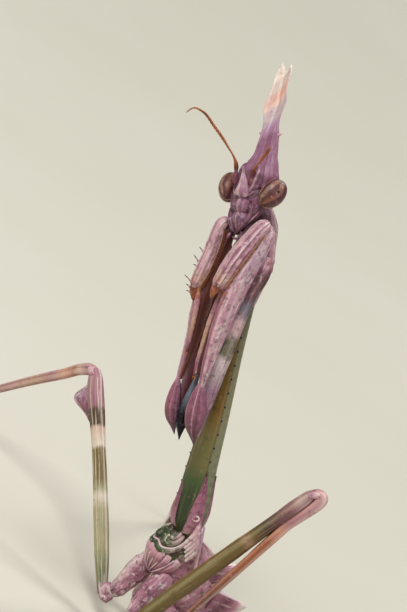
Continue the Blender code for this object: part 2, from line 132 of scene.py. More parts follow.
def line_of(node, near, count):
    """Centre line of a long node from the end beside `near`: sliced across its own axis."""
    places = corners(node)
    axis = np.linalg.svd(places - places.mean(axis=0), full_matrices=False)[2][0]
    s = places @ axis
    tips = places[s.argmin()], places[s.argmax()]
    if np.linalg.norm(tips[1] - near) < np.linalg.norm(tips[0] - near):
        axis, s, tips = -axis, -s, tips[::-1]
    stops = np.linspace(s.min(), s.max(), count)
    reach = (s.max() - s.min()) / count
    weight = bump(s[None], stops[1:-1, None], reach)
    inner = (weight @ places) / weight.sum(axis=1)[:, None]
    inner += np.outer(stops[1:-1] - inner @ axis, axis)
    return np.vstack([tips[0], inner, tips[1]])


def longer(path, first, last):
    """The path with its two ends carried on by so many millimetres."""
    head, tail = unit(path[0] - path[1]), unit(path[-1] - path[-2])
    return np.vstack([path[0] + first * head, path[1:-1], path[-1] + last * tail])


LEFT, _, UP = np.eye(3)
SHIELD_AIM = aim(-56.0, 68.5)
SHIELD_ROLL = math.radians(14.0)
SHIELD_LEVEL = unit(LEFT - SHIELD_AIM * SHIELD_AIM[0])
SHIELD_LEFT = (math.cos(SHIELD_ROLL) * SHIELD_LEVEL
               + math.sin(SHIELD_ROLL) * np.cross(SHIELD_AIM, SHIELD_LEVEL))
SHIELD_BACK = np.cross(SHIELD_AIM, SHIELD_LEFT)
SHIELD = corners("prothorax")
WAIST = SHIELD[(SHIELD @ SHIELD_AIM).argmin()]
SHIELD_END = SHIELD[(SHIELD @ SHIELD_AIM).argmax()]
THORAX_AIM = aim(180.0, -40.0)
THORAX_BELOW = aim(0.0, -50.0)
FACE_AIM = aim(0.0, 12.0)
EYES = middle("eye_left"), middle("eye_right")
HEAD_LEFT = unit(EYES[0] - EYES[1])
HEAD_LEFT = unit(HEAD_LEFT - FACE_AIM * (HEAD_LEFT @ FACE_AIM))
HEAD_UP = np.cross(FACE_AIM, HEAD_LEFT)
EYE_UP, EYE_AHEAD, EYE_OUT = 0.36, 0.2, 2.02
HEAD = sum(EYES) / 2 - EYE_UP * HEAD_UP - EYE_AHEAD * FACE_AIM


def on_shield(along, below, beside):
    """Place on the neck shield's own axes, from the waist."""
    return WAIST + along * SHIELD_AIM - below * SHIELD_BACK + beside * SHIELD_LEFT


def on_thorax(along, below, beside):
    """Place on the winged thorax's own axes, from the waist."""
    return WAIST + along * THORAX_AIM + below * THORAX_BELOW + beside * LEFT


def on_head(left, up, ahead):
    """Place on the head's own axes, from its centre."""
    return HEAD + left * HEAD_LEFT + up * HEAD_UP + ahead * FACE_AIM


# Surfaces --------------------------------------------------------------------------------
def grid(n, m):
    """The two running numbers of a surface: t down a column, u along a row, and u's cosine
    and sine."""
    u = np.linspace(0, TURN, m, endpoint=False)[None]
    return np.linspace(0, 1, n)[:, None], u, np.cos(u), np.sin(u)


def loft(path, side, wide, high, push=0.0):
    """Rings round a path: each corner leaves the path by wide to the side, by high at right
    angles to it and by push along the path; all three may change with t and u."""
    forward = np.gradient(path, axis=0)
    forward /= np.linalg.norm(forward, axis=1)[:, None]
    across = side - forward * (forward @ side)[:, None]
    across /= np.linalg.norm(across, axis=1)[:, None]
    upper = np.cross(forward, across)
    wide, high, push = np.broadcast_arrays(wide, high, push)
    return (path[:, None] + wide[..., None] * across[:, None] + high[..., None] * upper[:, None]
            + push[..., None] * forward[:, None])


def ridged(u, ridges):
    """Sum of the ridges' bells over the angle u."""
    return sum(height * around(u, at, width) for at, height, width in ridges)


def tube(path, side, wide, deep, m, ridges=(), turned=1, wave=0.0):
    """Limb: half-sizes wide(t) and deep(t), both scaled by ridges and by slow unevenness of
    height wave; turned -1 counts the angle backwards."""
    t, u, c, s = grid(len(path), m)
    shape = 1.0 + ridged(u, ridges)
    uneven = np.sin(23 * t + 2 * u) * np.sin(9 * t) + 0.5 * np.sin(47 * t + 3 * u)
    shape = shape * (1 + wave * uneven)
    return loft(path, side, wide * c * shape, turned * deep * s * shape)


def rod(look, path, side, m, *pairs, flat=1.0, **more):
    """A tube with its look: half-width by the profile, and flat times as deep as wide."""
    half = spread(len(path), *pairs)
    return tube(path, side, half, half * flat, m, **more), look


def cone(look, root, tip, thick, bend=0.0, n=7, m=7):
    """Thorn with its look, from root to tip: the radius falls with a power of what is left,
    and the line is bowed by bend."""
    t, _, c, s = grid(n, m)
    path = root + (tip - root) * t + np.sin(math.pi * t) * bend
    askew = np.array([0.31, 0.77, 0.55])
    radius = thick * (0.06 + 0.94 * (1 - t) ** 0.8)
    return loft(path, unit(np.cross(tip - root, askew)), radius * c, radius * s), look


def thorns(look, roots, tips, thick):
    """A row of thorns, one from each root to its tip."""
    return [cone(look, root, tip, thick) for root, tip in zip(roots, tips)]


def laid(sheet, t, degrees, lift=0.0):
    """Places on a lofted surface: t along it, an angle round it, lifted off its ring's centre."""
    n, m = sheet.shape[:2]
    row, degrees = np.broadcast_arrays(np.clip(t, 0, 1) * (n - 1.0), degrees)
    column = degrees / 360 * m
    i, j = np.minimum(row.astype(int), n - 2), np.floor(column).astype(int)
    a, b = (row - i)[:, None], (column - j)[:, None]
    near = (1 - b) * sheet[i, j % m] + b * sheet[i, (j + 1) % m]
    far = (1 - b) * sheet[i + 1, j % m] + b * sheet[i + 1, (j + 1) % m]
    place = (1 - a) * near + a * far
    out = place - ((1 - a) * sheet[i].mean(axis=1) + a * sheet[i + 1].mean(axis=1))
    return place + lift * out / np.linalg.norm(out, axis=1)[:, None]


def skin(name, sheets, nodes, body="root"):
    """One closed mesh from (surface, look) pairs. A surface is a grid of corners with a pole at
    each end; the layout map holds t across and, upwards, u as a share of a full turn."""
    looks, blocks, base = [], [], 0
    for surface, look in sheets:
        if look not in looks:
            looks.append(look)
        n, m = surface.shape[:2]
        corner = np.vstack([surface.reshape(-1, 3), surface[0].mean(axis=0), surface[-1].mean(axis=0)])
        ids = np.vstack([np.full(m, n * m), np.arange(n * m).reshape(n, m), np.full(m, n * m + 1)])
        turn = np.roll(ids, -1, axis=1)
        quads = np.stack([ids[:-1], turn[:-1], turn[1:], ids[1:]], axis=-1).reshape(-1, 4)
        t, u = np.concatenate([[0], np.linspace(0, 1, n), [1]]), np.arange(m + 1) / m
        (t0, u0), (t1, u1) = (np.meshgrid(t[part], u[part], indexing="ij")
                              for part in (slice(-1), slice(1, None)))
        chart = np.stack([t0, u0, t0, u1, t1, u1, t1, u0], axis=-1).reshape(-1, 4, 2)
        keep = quads != np.roll(quads, 1, axis=1)
        a, b, c = (corner[quads[:, k]] - corner[:-2].mean(axis=0) for k in range(3))
        if (a * np.cross(b, c)).sum() < 0:
            quads, chart, keep = (part[:, [0, 3, 2, 1]] for part in (quads, chart, keep))
        blocks.append((corner, quads + base, chart, keep, np.full(len(quads), looks.index(look))))
        base += len(corner)
    places, faces, chart, keep, paint = map(np.concatenate, zip(*blocks))
    starts = np.concatenate([[0], np.cumsum(keep.sum(axis=1))[:-1]])
    mesh = bpy.data.meshes.new(name)
    mesh.vertices.add(len(places))
    mesh.loops.add(int(keep.sum()))
    mesh.polygons.add(len(faces))
    mesh.vertices.foreach_set("co", (places * MM).ravel())
    mesh.loops.foreach_set("vertex_index", faces[keep].astype(np.int32))
    mesh.polygons.foreach_set("loop_start", starts.astype(np.int32))
    mesh.polygons.foreach_set("material_index", paint.astype(np.int32))
    mesh.update(calc_edges=True)
    mesh.shade_smooth()
    mesh.uv_layers.new(name="layout").data.foreach_set("uv", chart[keep].ravel())
    for look in looks:
        mesh.materials.append(look_of(look))
    made = bpy.data.objects.new(name, mesh)
    bpy.context.scene.collection.objects.link(made)
    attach(made, body)
    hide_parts(*nodes)


# Materials ---------------------------------------------------------------------------------
def tone(code):
    """Linear colour from six hexadecimal digits."""
    parts = [int(code[k:k + 2], 16) / 255 for k in (0, 2, 4)]
    return tuple(((p + 0.055) / 1.055) ** 2.4 if p > 0.04 else p / 12.92 for p in parts) + (1.0,)


def add(tree, kind, feeds=(), **settings):
    """New node of a kind with its own settings; feeds gives inputs a link or a constant."""
    node = tree.nodes.new(f"ShaderNode{kind}")
    for key, value in settings.items():
        setattr(node, key, value)
    feed(tree, node, feeds)
    return node


def feed(tree, node, feeds):
    """Gives inputs, by number or name, a link from another node's output or a constant."""
    for key, value in dict(feeds).items():
        if isinstance(value, bpy.types.NodeSocket):
            tree.links.new(value, node.inputs[key])
        else:
            node.inputs[key].default_value = value


def sums(tree, kind, first, second=0.0):
    """One step of arithmetic on sockets or plain numbers."""
    return add(tree, "Math", {0: first, 1: second}, operation=kind).outputs[0]


def band(tree, value, low, high):
    """Smooth step of a value from low to high."""
    return add(tree, "MapRange", {0: value, 1: low, 2: high},
               interpolation_type="SMOOTHSTEP").outputs[0]


def cut(tree, noise, cover, fall, soft):
    """Mask where noise passes a level that falls from near its top as the cover grows."""
    level = sums(tree, "SUBTRACT", NOISE_TOP, sums(tree, "MULTIPLY", cover, fall))
    return band(tree, noise.outputs["Fac"], sums(tree, "SUBTRACT", level, soft),
                sums(tree, "ADD", level, soft))


def over(tree, below, above, amount):
    """One colour laid over another by an amount."""
    return add(tree, "Mix", {0: amount, 6: below, 7: above}, data_type="RGBA").outputs[2]


def ramp(tree, value, stops):
    """Colour ramp over (place, colour) or (place, colour, strength) stops."""
    node = add(tree, "ValToRGB", {0: value})
    points = node.color_ramp.elements
    while len(points) < len(stops):
        points.new(0.5)
    for point, stop in zip(points, stops):
        point.position = stop[0]
    for point, (_, colour, *strength) in zip(points, stops):
        point.color = (*colour[:3], *(strength or [1.0]))
    return node.outputs


def group(name, inputs, *outputs, kind="Float"):
    """New shader group with float inputs and their values, and outputs of one kind; gives the
    tree, the sockets to take from and the node to feed."""
    tree = bpy.data.node_groups.new(name, "ShaderNodeTree")
    for label, value in inputs.items():
        tree.interface.new_socket(label, in_out="INPUT",
                                  socket_type="NodeSocketFloat").default_value = value
    for label in outputs:
        tree.interface.new_socket(label, in_out="OUTPUT", socket_type=f"NodeSocket{kind}")
    return tree, tree.nodes.new("NodeGroupInput").outputs, tree.nodes.new("NodeGroupOutput")


def object_place(tree):
    """The place on the object."""
    return add(tree, "TexCoord").outputs["Object"]


def layout_place(tree):
    """The layout map's two numbers."""
    chart = add(tree, "UVMap", uv_map="layout")
    return add(tree, "SeparateXYZ", {0: chart.outputs[0]}).outputs


NOISE_TOP = 0.78
METRES = 1000.0  # over a size in millimetres gives a texture's scale


def blotch_group():
    """Irregular patches: fractal noise over the object, cut at a cover with a soft edge."""
    tree, take, give = group("Blotches", {"Size": 1.0, "Cover": 0.5, "Soft": 0.06, "Seed": 0.0}, "Mask")
    noise = add(tree, "TexNoise", {
        "Vector": object_place(tree), "Scale": sums(tree, "DIVIDE", METRES, take["Size"])},
        noise_dimensions="4D")
    feed(tree, noise, {"W": take["Seed"], "Detail": 5.0, "Roughness": 0.62, "Distortion": 0.4})
    feed(tree, give, {"Mask": cut(tree, noise, take["Cover"], 0.56, take["Soft"])})
    return tree


def fibre_group():
    """Fine streaks that run the length of a piece: noise over a cylinder whose height is t and
    whose angle is u."""
    tree, take, give = group("Fibres", {"Long": 5.0, "Round": 26.0, "Cover": 0.5, "Seed": 0.0}, "Mask")
    along, round_share, _ = layout_place(tree)
    turn = sums(tree, "MULTIPLY", round_share, TURN)
    reach = sums(tree, "DIVIDE", take["Round"], TURN)
    place = add(tree, "CombineXYZ", {0: sums(tree, "MULTIPLY", along, take["Long"]),
                                     1: sums(tree, "MULTIPLY", sums(tree, "COSINE", turn), reach),
                                     2: sums(tree, "MULTIPLY", sums(tree, "SINE", turn), reach)})
    noise = add(tree, "TexNoise", {"Vector": place.outputs[0]}, noise_dimensions="4D")
    feed(tree, noise, {"W": take["Seed"], "Scale": 1.0, "Detail": 3.0})
    feed(tree, give, {"Mask": cut(tree, noise, take["Cover"], 0.44, 0.06)})
    return tree


def wander_group():
    """The layout map's two numbers, both shifted by slow noise so that bands have ragged edges."""
    tree, take, give = group("Wander", {"Ragged": 0.03, "Size": 0.6, "Seed": 0.0}, "Along", "Round")
    noise = add(tree, "TexNoise", {
        "Vector": object_place(tree), "Scale": sums(tree, "DIVIDE", METRES, take["Size"])},
        noise_dimensions="4D")
    feed(tree, noise, {"W": take["Seed"], "Detail": 4.0})
    swing = sums(tree, "SUBTRACT", noise.outputs["Fac"], 0.5)
    shift = sums(tree, "MULTIPLY", swing, take["Ragged"])
    along, round_share, _ = layout_place(tree)
    feed(tree, give, {"Along": sums(tree, "ADD", along, shift),
                      "Round": sums(tree, "ADD", round_share, shift)})
    return tree


def grain_group():
    """Fine pebbled cuticle: small cells and coarser noise turned into a bent normal."""
    tree, take, give = group("Grain", {"Size": 0.09, "Depth": 0.3}, "Normal", kind="Vector")
    place = object_place(tree)
    scale = sums(tree, "DIVIDE", METRES, take["Size"])
    cells = add(tree, "TexVoronoi", {"Vector": place, "Scale": scale})
    noise = add(tree, "TexNoise", {"Vector": place, "Scale": sums(tree, "MULTIPLY", scale, 0.35),
                                   "Detail": 6.0})
    height = sums(tree, "ADD", sums(tree, "MULTIPLY", cells.outputs["Distance"], 0.35),
                  noise.outputs["Fac"])
    relief = add(tree, "Bump", {"Distance": 0.04 * MM, "Height": height, "Strength": take["Depth"]})
    feed(tree, give, {"Normal": relief.outputs[0]})
    return tree


GROUPS = {"Blotches": blotch_group, "Fibres": fibre_group, "Wander": wander_group, "Grain": grain_group}


def effect(tree, name, **values):
    """Outputs of a shared shader group set down with the given constants; made once."""
    shared = bpy.data.node_groups.get(name) or GROUPS[name]()
    return add(tree, "Group", values, node_tree=shared).outputs


def read(text):
    """Rows of a table written as text: numbers, and colours by their palette names."""
    return [[TONES.get(word) or float(word) for word in row.split()] for row in text.split(",") if row]


def cuticle(name, along, rounds="", blots="", fibres="", last="", ragged=0.03, rough=0.45, grain=0.3,
            grain_size=0.09, glow=0.12, coat=0.06, shine=0.3, seed=0.0, skew=0.0, pupil=None):
    """Insect skin, from tables as text: colours along the piece, colours round it (place, colour,
    strength), streaks (colour, cover, strength), patches (colour, size, cover, strength) and
    last what lies on top round it. A pupil is a place and a radius."""
    look = bpy.data.materials.new(f"skin_{name}")
    look.use_nodes = True
    tree = look.node_tree
    place, turn = effect(tree, "Wander", Ragged=ragged, Seed=seed)
    if skew:
        swing = sums(tree, "COSINE", sums(tree, "MULTIPLY", turn, TURN))
        place = sums(tree, "ADD", place, sums(tree, "MULTIPLY", swing, skew))
    colour = ramp(tree, place, read(along))[0]
    if rounds:
        colour = over(tree, colour, *ramp(tree, turn, read(rounds)))
    for k, (tint, cover, strength) in enumerate(read(fibres)):
        streak = effect(tree, "Fibres", Cover=cover, Seed=seed + 3.1 * k, Round=22.0 + 9.0 * k)[0]
        colour = over(tree, colour, tint, sums(tree, "MULTIPLY", streak, strength))
    for k, (tint, size, cover, strength) in enumerate(read(blots)):
        patch = effect(tree, "Blotches", Size=size, Cover=cover, Seed=seed + 7.7 * k + 1.3)[0]
        colour = over(tree, colour, tint, sums(tree, "MULTIPLY", patch, strength))
    # the last table lies over every other colour; on the fore coxae and femora it holds the inner
    # faces' own dark brown together with painted shade
    if last:
        colour = over(tree, colour, *ramp(tree, turn, read(last)))
    if pupil:
        where, reach = pupil
        gap = add(tree, "VectorMath", {0: object_place(tree), 1: tuple(where * MM)},
                  operation="DISTANCE")
        edge = band(tree, gap.outputs["Value"], 0.6 * reach * MM, reach * MM)
        colour = over(tree, TONES["ink"], colour, edge)
    shade = effect(tree, "Blotches", Size=0.35, Cover=0.5, Soft=0.2, Seed=seed + 40.0)[0]
    swing = 0.18
    feed(tree, tree.nodes["Principled BSDF"], {
        "Base Color": colour, "Subsurface Radius": colour, "Subsurface Weight": glow,
        "Subsurface Scale": 0.4 * MM, "Specular IOR Level": shine,
        "Roughness": sums(tree, "ADD", sums(tree, "MULTIPLY", shade, swing), rough - swing / 2),
        "Coat Weight": coat, "Coat Roughness": 0.35,
        "Normal": effect(tree, "Grain", Size=grain_size, Depth=grain)[0]})
    return look


def stripes(count, tints, hard):
    """Table of evenly spaced stripes round a piece: two stops a stripe, so that each is flat in
    its middle and blends at its edges."""
    names = tints.split()
    return ", ".join(f"{(k + edge) / count} {names[k % len(names)]} .9"
                     for k in range(count) for edge in (hard, 1 - hard))


# Palette: the cuticle's colours as they look in even light
TONES = {name: tone(code) for name, code in dict(
    mauve="84566a", plum="4c303c", lilac="ad89a0", pink="b88490", blush="d4b0b0", rose="9c6675",
    madder="6c3d4c", wine="4a2226", rust="9c5834", sienna="5f2a18", amber="a86c2e", cream="e6d6c2",
    white="e2d2cb", peach="d69c7c", ochre="7f6431", olive="6f683c", straw="a9a27a", moss="45542c",
    sage="77775c", slate="6a727a", ink="17101a", tan="b58e70", umber="4a3324", ash="bfacaa",
    bronze="74602c", apricot="d3a591", bone="ccb8a9", fawn="93705f", pine="2e3a20", berry="8c5264",
    fern="66704c", shell="dbb9a6", cocoa="58322e", dune="bd9889", copper="7d4c38").items()}

LOOKS = {
    "head": dict(
        along="0 wine, .2 plum, .36 madder, .5 mauve, .6 madder, .75 mauve, .9 lilac, 1 mauve",
        blots="plum .7 .5 .8, lilac .5 .33 .6, wine .35 .36 .7", fibres="blush .3 .35, plum .3 .5"),
    "face": dict(
        along="0 wine, .25 berry, .6 mauve, .85 berry, 1 wine",
        rounds="0 wine .8, .08 mauve .3, .6 mauve 0, .66 lilac .5, .7 plum .4, .75 blush .6, "
               ".8 plum .4, .84 lilac .5, .9 plum .3, 1 wine .8",
        blots="plum .6 .45 .6, wine .3 .36 .6, lilac .35 .36 .5", ragged=0.07),
    "seam": dict(
        along="0 rose, .3 pink, .7 lilac, 1 rose", blots="madder .3 .4 .6"),
    "frontal": dict(
        along="0 rose, .2 pink, .5 blush, .9 blush, 1 cream",
        rounds="0 mauve .8, .1 plum .6, .5 rose .4, .66 blush .5, .74 white .6, .77 mauve .75, "
               ".9 mauve .8, 1 mauve .8", blots="mauve .4 .35 .5", fibres="white .4 .4"),
    "crown": dict(
        along="0 madder, .08 mauve, .2 mauve, .38 mauve, .5 lilac, .56 ash, .67 ash, .72 shell, "
              ".77 apricot, .8 apricot, .86 bone, .93 bone, .98 cream",
        blots="madder .6 .26 .4, pink .5 .33 .25, lilac .4 .33 .2",
        fibres="lilac .42 .5, madder .33 .3",
        ragged=0.07, skew=-0.09, seed=4.0),
    "brow": dict(
        along="0 plum, .3 madder, .6 mauve, 1 mauve",
        rounds="0 mauve .2, .59 mauve .2, .617 lilac .8, .64 mauve .2, .7 rose .3, .728 lilac .8, "
               ".75 plum .5, .84 rose .4, .867 blush .8, .89 mauve .3",
        blots="plum .5 .42 .6, lilac .35 .33 .5", fibres="lilac .36 .5, wine .33 .5"),
    "prong": dict(
        along="0 cream, .6 cream, .85 white, 1 cream", blots="shell .3 .35 .3"),
    "eye": dict(
        along="0 wine, .2 umber, .5 madder, .8 umber, 1 wine",
        rounds=stripes(15, "cocoa dune wine fawn cocoa copper wine dune", 0.13),
        blots="wine .5 .4 .6, copper .45 .33 .6, dune .4 .3 .5", ragged=0.1, rough=0.4, grain=0.14,
        grain_size=0.05, glow=0.04, coat=0.14, pupil=(on_head(2.72, 0.62, 0.82), 0.2)),
    "antenna": dict(
        along="0 madder, .12 madder, .17 sienna, .22 rust, .6 rust, .8 sienna, .9 amber, 1 sienna",
        blots="wine .25 .35 .6, amber .3 .35 .6"),
    "shield": dict(
        along="0 moss, .05 pine, .13 pine, .18 moss, .23 olive, .3 olive, .38 ochre, .62 ochre, "
              ".7 umber, .76 madder, .88 mauve, 1 lilac", blots="umber .5 .28 .4, tan .4 .25 .4",
        fibres="olive .36 .6, tan .3 .45, moss .25 .5",
        last="0 sage .8, .07 sage .7, .09 ash .85, .12 slate .75, .3 sage .5, .5 sage .5, .57 ochre 0, "
             ".9 ochre 0, .92 umber .6, .94 sage .8", ragged=0.02, glow=0.14),
    "lobe_front": dict(
        along="0 umber, .1 umber, .22 madder, .6 berry, .85 madder, .97 rose, 1 blush",
        rounds="0 white .7, .03 blush .6, .06 wine .4, .1 pink .4, .14 wine .3, .44 mauve .1, "
               ".47 blush .6, .5 white .7, .53 blush .6, .57 madder .5, .93 madder .5, .97 blush .6",
        blots="plum .6 .36 .6, blush .4 .3 .5", fibres="lilac .4 .5, wine .4 .6"),
    "thorax": dict(
        along="0 pine, .1 moss, .2 moss, .26 rose, .5 pink, 1 rose",
        blots="moss .8 .33 .8, madder .5 .4 .7, blush .4 .36 .6", fibres="blush .35 .5, wine .3 .5"),
    "collar": dict(
        along="0 cream, .15 moss, .4 pine, .7 moss, 1 blush", blots="cream .4 .33 .7, pine .4 .4 .6",
        fibres="white .3 .6"),
    "gusset": dict(
        along="0 blush, .12 pink, .3 rose, .6 berry, .9 madder, 1 moss",
        blots="madder .5 .4 .6, pink .4 .33 .5", fibres="wine .4 .6, blush .36 .5"),
    "fold": dict(
        along="0 rose, .3 pink, .6 blush, 1 white", blots="madder .35 .36 .6, white .4 .36 .6",
        fibres="white .35 .5"),
    "plate": dict(
        along="0 wine, .15 madder, .4 rose, .8 pink, 1 blush",
        rounds="0 wine .6, .06 rose .1, .2 rose .1, .25 blush .5, .3 rose .1, .45 rose .1, .5 wine .6, "
               ".75 blush .5", blots="madder .4 .36 .5, blush .5 .3 .4", fibres="wine .35 .5"),
    "pad": dict(
        along="0 rose, .3 madder, .45 rose, .58 pink, .68 blush, .76 white, 1 white",
        blots="pink .5 .3 .3, blush .5 .3 .4", fibres="blush .4 .6, madder .33 .4",
        last="0 white .85, .07 white .7, .11 pink 0, .39 pink 0, .43 white .7, .5 white .85, "
             ".57 white .7, .61 pink 0, .89 pink 0, .93 white .7"),
    "abdomen": dict(
        along="0 rose, .3 mauve, .7 rose, 1 mauve",
        blots="plum .9 .4 .55, blush .7 .33 .5, sage .8 .25 .5",
        fibres="pink .3 .4", ragged=0.1),
    "coxa_fore": dict(
        along="0 pink, .035 pink, .06 madder, .09 wine, .17 wine, .22 plum, .26 slate, .31 slate, "
              ".36 blush, .43 blush, .47 fern, .54 fern, .58 white, .67 ash, .74 lilac, .85 mauve, "
              "1 lilac",
        rounds="0 plum .3, .1 plum .2, .17 rose .2, .21 blush .3, .26 rose .1, .31 wine .2, "
               ".4 mauve .3, .5 mauve .3", blots="pink .5 .33 .4, plum .5 .36 .6, white .5 .28 .4",
        fibres="white .33 .45, plum .38 .5",
        # last: sienna, rust and wine over the inner face; partly the inner face's own dark brown,
        # partly painted shade between the legs
        last="0 sienna .5, .04 sienna 0, .5 wine .3, .58 sienna .9, .7 rust .55, .8 sienna .95, "
             ".92 wine .9, 1 sienna .5", ragged=0.08),
    "bulb": dict(
        along="0 ink, .09 ink, .17 wine, .28 madder, .5 berry, .8 berry, .95 pink, 1 rose",
        rounds="0 berry .2, .075 rose .3, .09 blush .7, .105 berry .3, .16 plum .5, .2 rose .3, "
               ".24 berry .3, .34 plum .5, .361 lilac .5, .4 berry .3, .7 wine .7, .79 lilac .5, "
               ".84 madder .5, .92 pink .5, .95 berry .2", blots="plum .35 .4 .5, lilac .3 .3 .4",
        fibres="blush .25 .5, plum .35 .5", ragged=0.02),
    "femur_fore": dict(
        along="0 madder, .15 rose, .35 pink, .6 pink, .8 lilac, .93 pink, .97 blush, 1 rose",
        rounds="0 rose .5, .08 blush .8, .16 pink .3, .22 white .5, .3 pink .2, .38 lilac .5, "
               ".46 mauve .5, .5 blush .5", blots="white .8 .36 .55, plum .45 .36 .6, mauve .3 .35 .5",
        fibres="white .42 .6, madder .42 .55",
        # last: dark berry on the ventral edge, sienna and rust over the inner face; partly the inner
        # face's own dark brown, partly painted shade between the legs
        last="0 berry .85, .035 berry .6, .06 blush .3, .09 pink 0, .5 pink 0, .58 sienna .85, "
             ".68 rust .6, .76 sienna .92, .88 sienna .92, .95 rose .7, 1 pink .7"),
    "tibia_fore": dict(
        along="0 rose, .06 blush, .14 berry, .4 rose, .74 rose, .83 tan, .9 amber, .95 sienna, 1 rust",
        # rounds: pale stops on the ridge crests and dark ones in the grooves; partly the leg's own pale
        # keels and dark stripes, partly painted highlight on the crests and painted shade in the
        # grooves
        rounds="0 blush .6, .05 madder .5, .075 pink .4, .117 white .7, .15 madder .5, .18 pink .3, "
               ".217 blush .7, .25 plum .5, .28 rust .35, .31 blush .6, .34 wine .5, .4 plum .45, "
               ".42 blush .5, .46 wine .8, .54 wine .8, .6 rust .5, .75 tan .4, .89 blush .6",
        blots="madder .35 .38 .55, blush .5 .36 .5, plum .25 .28 .6",
        fibres="white .4 .55, madder .38 .5",
        ragged=0.02),
    "comb": dict(
        along="0 rose, .35 amber, .8 rust, 1 sienna", blots="rust .2 .3 .4", rough=0.4),
    "spine": dict(
        along="0 pink, .45 blush, .62 madder, .75 ink, 1 ink", blots="rust .2 .3 .4"),
    "claw": dict(
        along="0 rose, .2 sienna, .5 rust, .8 sienna, 1 ink", blots="sienna .25 .4 .6, pink .3 .36 .5",
        fibres="amber .4 .6", rough=0.42, ragged=0.1),
    "tarsus_fore": dict(
        along="0 amber, .12 rust, .25 pink, .6 tan, .85 rose, 1 sienna",
        blots="madder .3 .35 .5, blush .4 .33 .5", fibres="blush .3 .5"),
    "thorn": dict(
        along="0 pink, .5 amber, .8 sienna, 1 ink", blots="rust .2 .3 .4", rough=0.3, coat=0.3),
    "horn": dict(
        along="0 lilac, .5 blush, 1 white", blots="rose .3 .3 .3"),
    "tarsus": dict(
        along="0 tan, .3 rose, .6 tan, 1 umber", blots="madder .3 .35 .5, cream .5 .3 .4"),
    "hip": dict(
        along="0 pink, .4 rose, .8 pink, 1 madder",
        # rounds: a white stripe down one edge and mauve on the far side; partly pale mottling, partly
        # painted highlight on the lit edge
        rounds="0 white .75, .09 blush .45, .16 rose 0, .4 rose 0, .5 mauve .4, .62 rose 0, "
               ".86 rose 0, .93 blush .45, 1 white .75",
        blots="mauve .7 .36 .5, white .5 .35 .7, plum .33 .36 .8", fibres="blush .4 .6, wine .38 .6",
        ragged=0.06),
    "femur_mid": dict(
        along="0 rose, .04 sage, .09 fern, .2 straw, .36 straw, .42 cream, .455 straw, .5 bronze, "
              ".63 bronze, .65 cream, .73 shell, .745 umber, .81 umber, .83 rose, 1 pink",
        rounds="0 cream .75, .06 olive .1, .2 umber .35, .25 cream .5, .3 umber .35, .44 olive .1, "
               ".5 cream .75, .56 olive .1, .75 cream .5, .94 olive .1", blots="umber .4 .25 .4",
        fibres="cream .42 .5, bronze .36 .5"),
    "femur_near": dict(
        along="0 bronze, .3 bronze, .61 bronze, .645 tan, .675 bronze, .74 umber, .8 madder, .88 rose, "
              ".93 blush, 1 pink",
        rounds="0 umber .4, .08 straw .4, .14 umber .5, .25 ochre .3, .36 umber .5, .42 straw .4, "
               ".5 umber .4, .65 umber .5, .85 umber .5", blots="umber .6 .33 .35, straw .9 .25 .2",
        fibres="moss .36 .5, tan .36 .5"),
    "shin": dict(
        along="0 pink, .04 rose, .09 shell, .13 rust, .2 peach, .3 rose, .4 tan, .7 rose, 1 tan",
        rounds="0 wine .3, .125 shell .5, .2 rust .3, .375 shell .5, .5 sienna .4, .625 peach .5, "
               ".8 sienna .4, .875 shell .5", blots="rust .7 .36 .45, blush .5 .33 .4",
        fibres="blush .38 .5, sienna .33 .5"),
    "shin_near": dict(
        along="0 pink, .06 blush, .2 pink, .27 peach, .34 rust, .5 rust, .75 umber, 1 sienna",
        rounds="0 sienna .3, .125 peach .5, .25 sienna .3, .375 shell .5, .5 sienna .4, .625 peach .5, "
               ".8 sienna .4, .875 peach .5", blots="sienna .7 .36 .4, pink .5 .33 .4",
        fibres="pink .36 .5"),
    "lobe": dict(
        along="0 madder, .4 madder, .6 rose, .85 lilac, 1 blush",
        rounds="0 white .85, .06 blush .6, .12 plum .4, .18 rose .1, .82 rose .1, .88 plum .4, "
               ".94 blush .6, .98 white .85", blots="plum .5 .4 .6, white .5 .33 .6",
        fibres="plum .36 .5"),
    "ink": dict(
        along="0 slate, .3 slate, .6 ink, 1 ink", blots="slate .4 .33 .4",
        fibres="ink .45 .7", rough=0.5,
        coat=0.0, shine=0.15),
}


def look_of(name):
    """The material of that name in the table, made the first time it is asked for."""
    return bpy.data.materials.get(f"skin_{name}") or cuticle(name, **LOOKS[name])


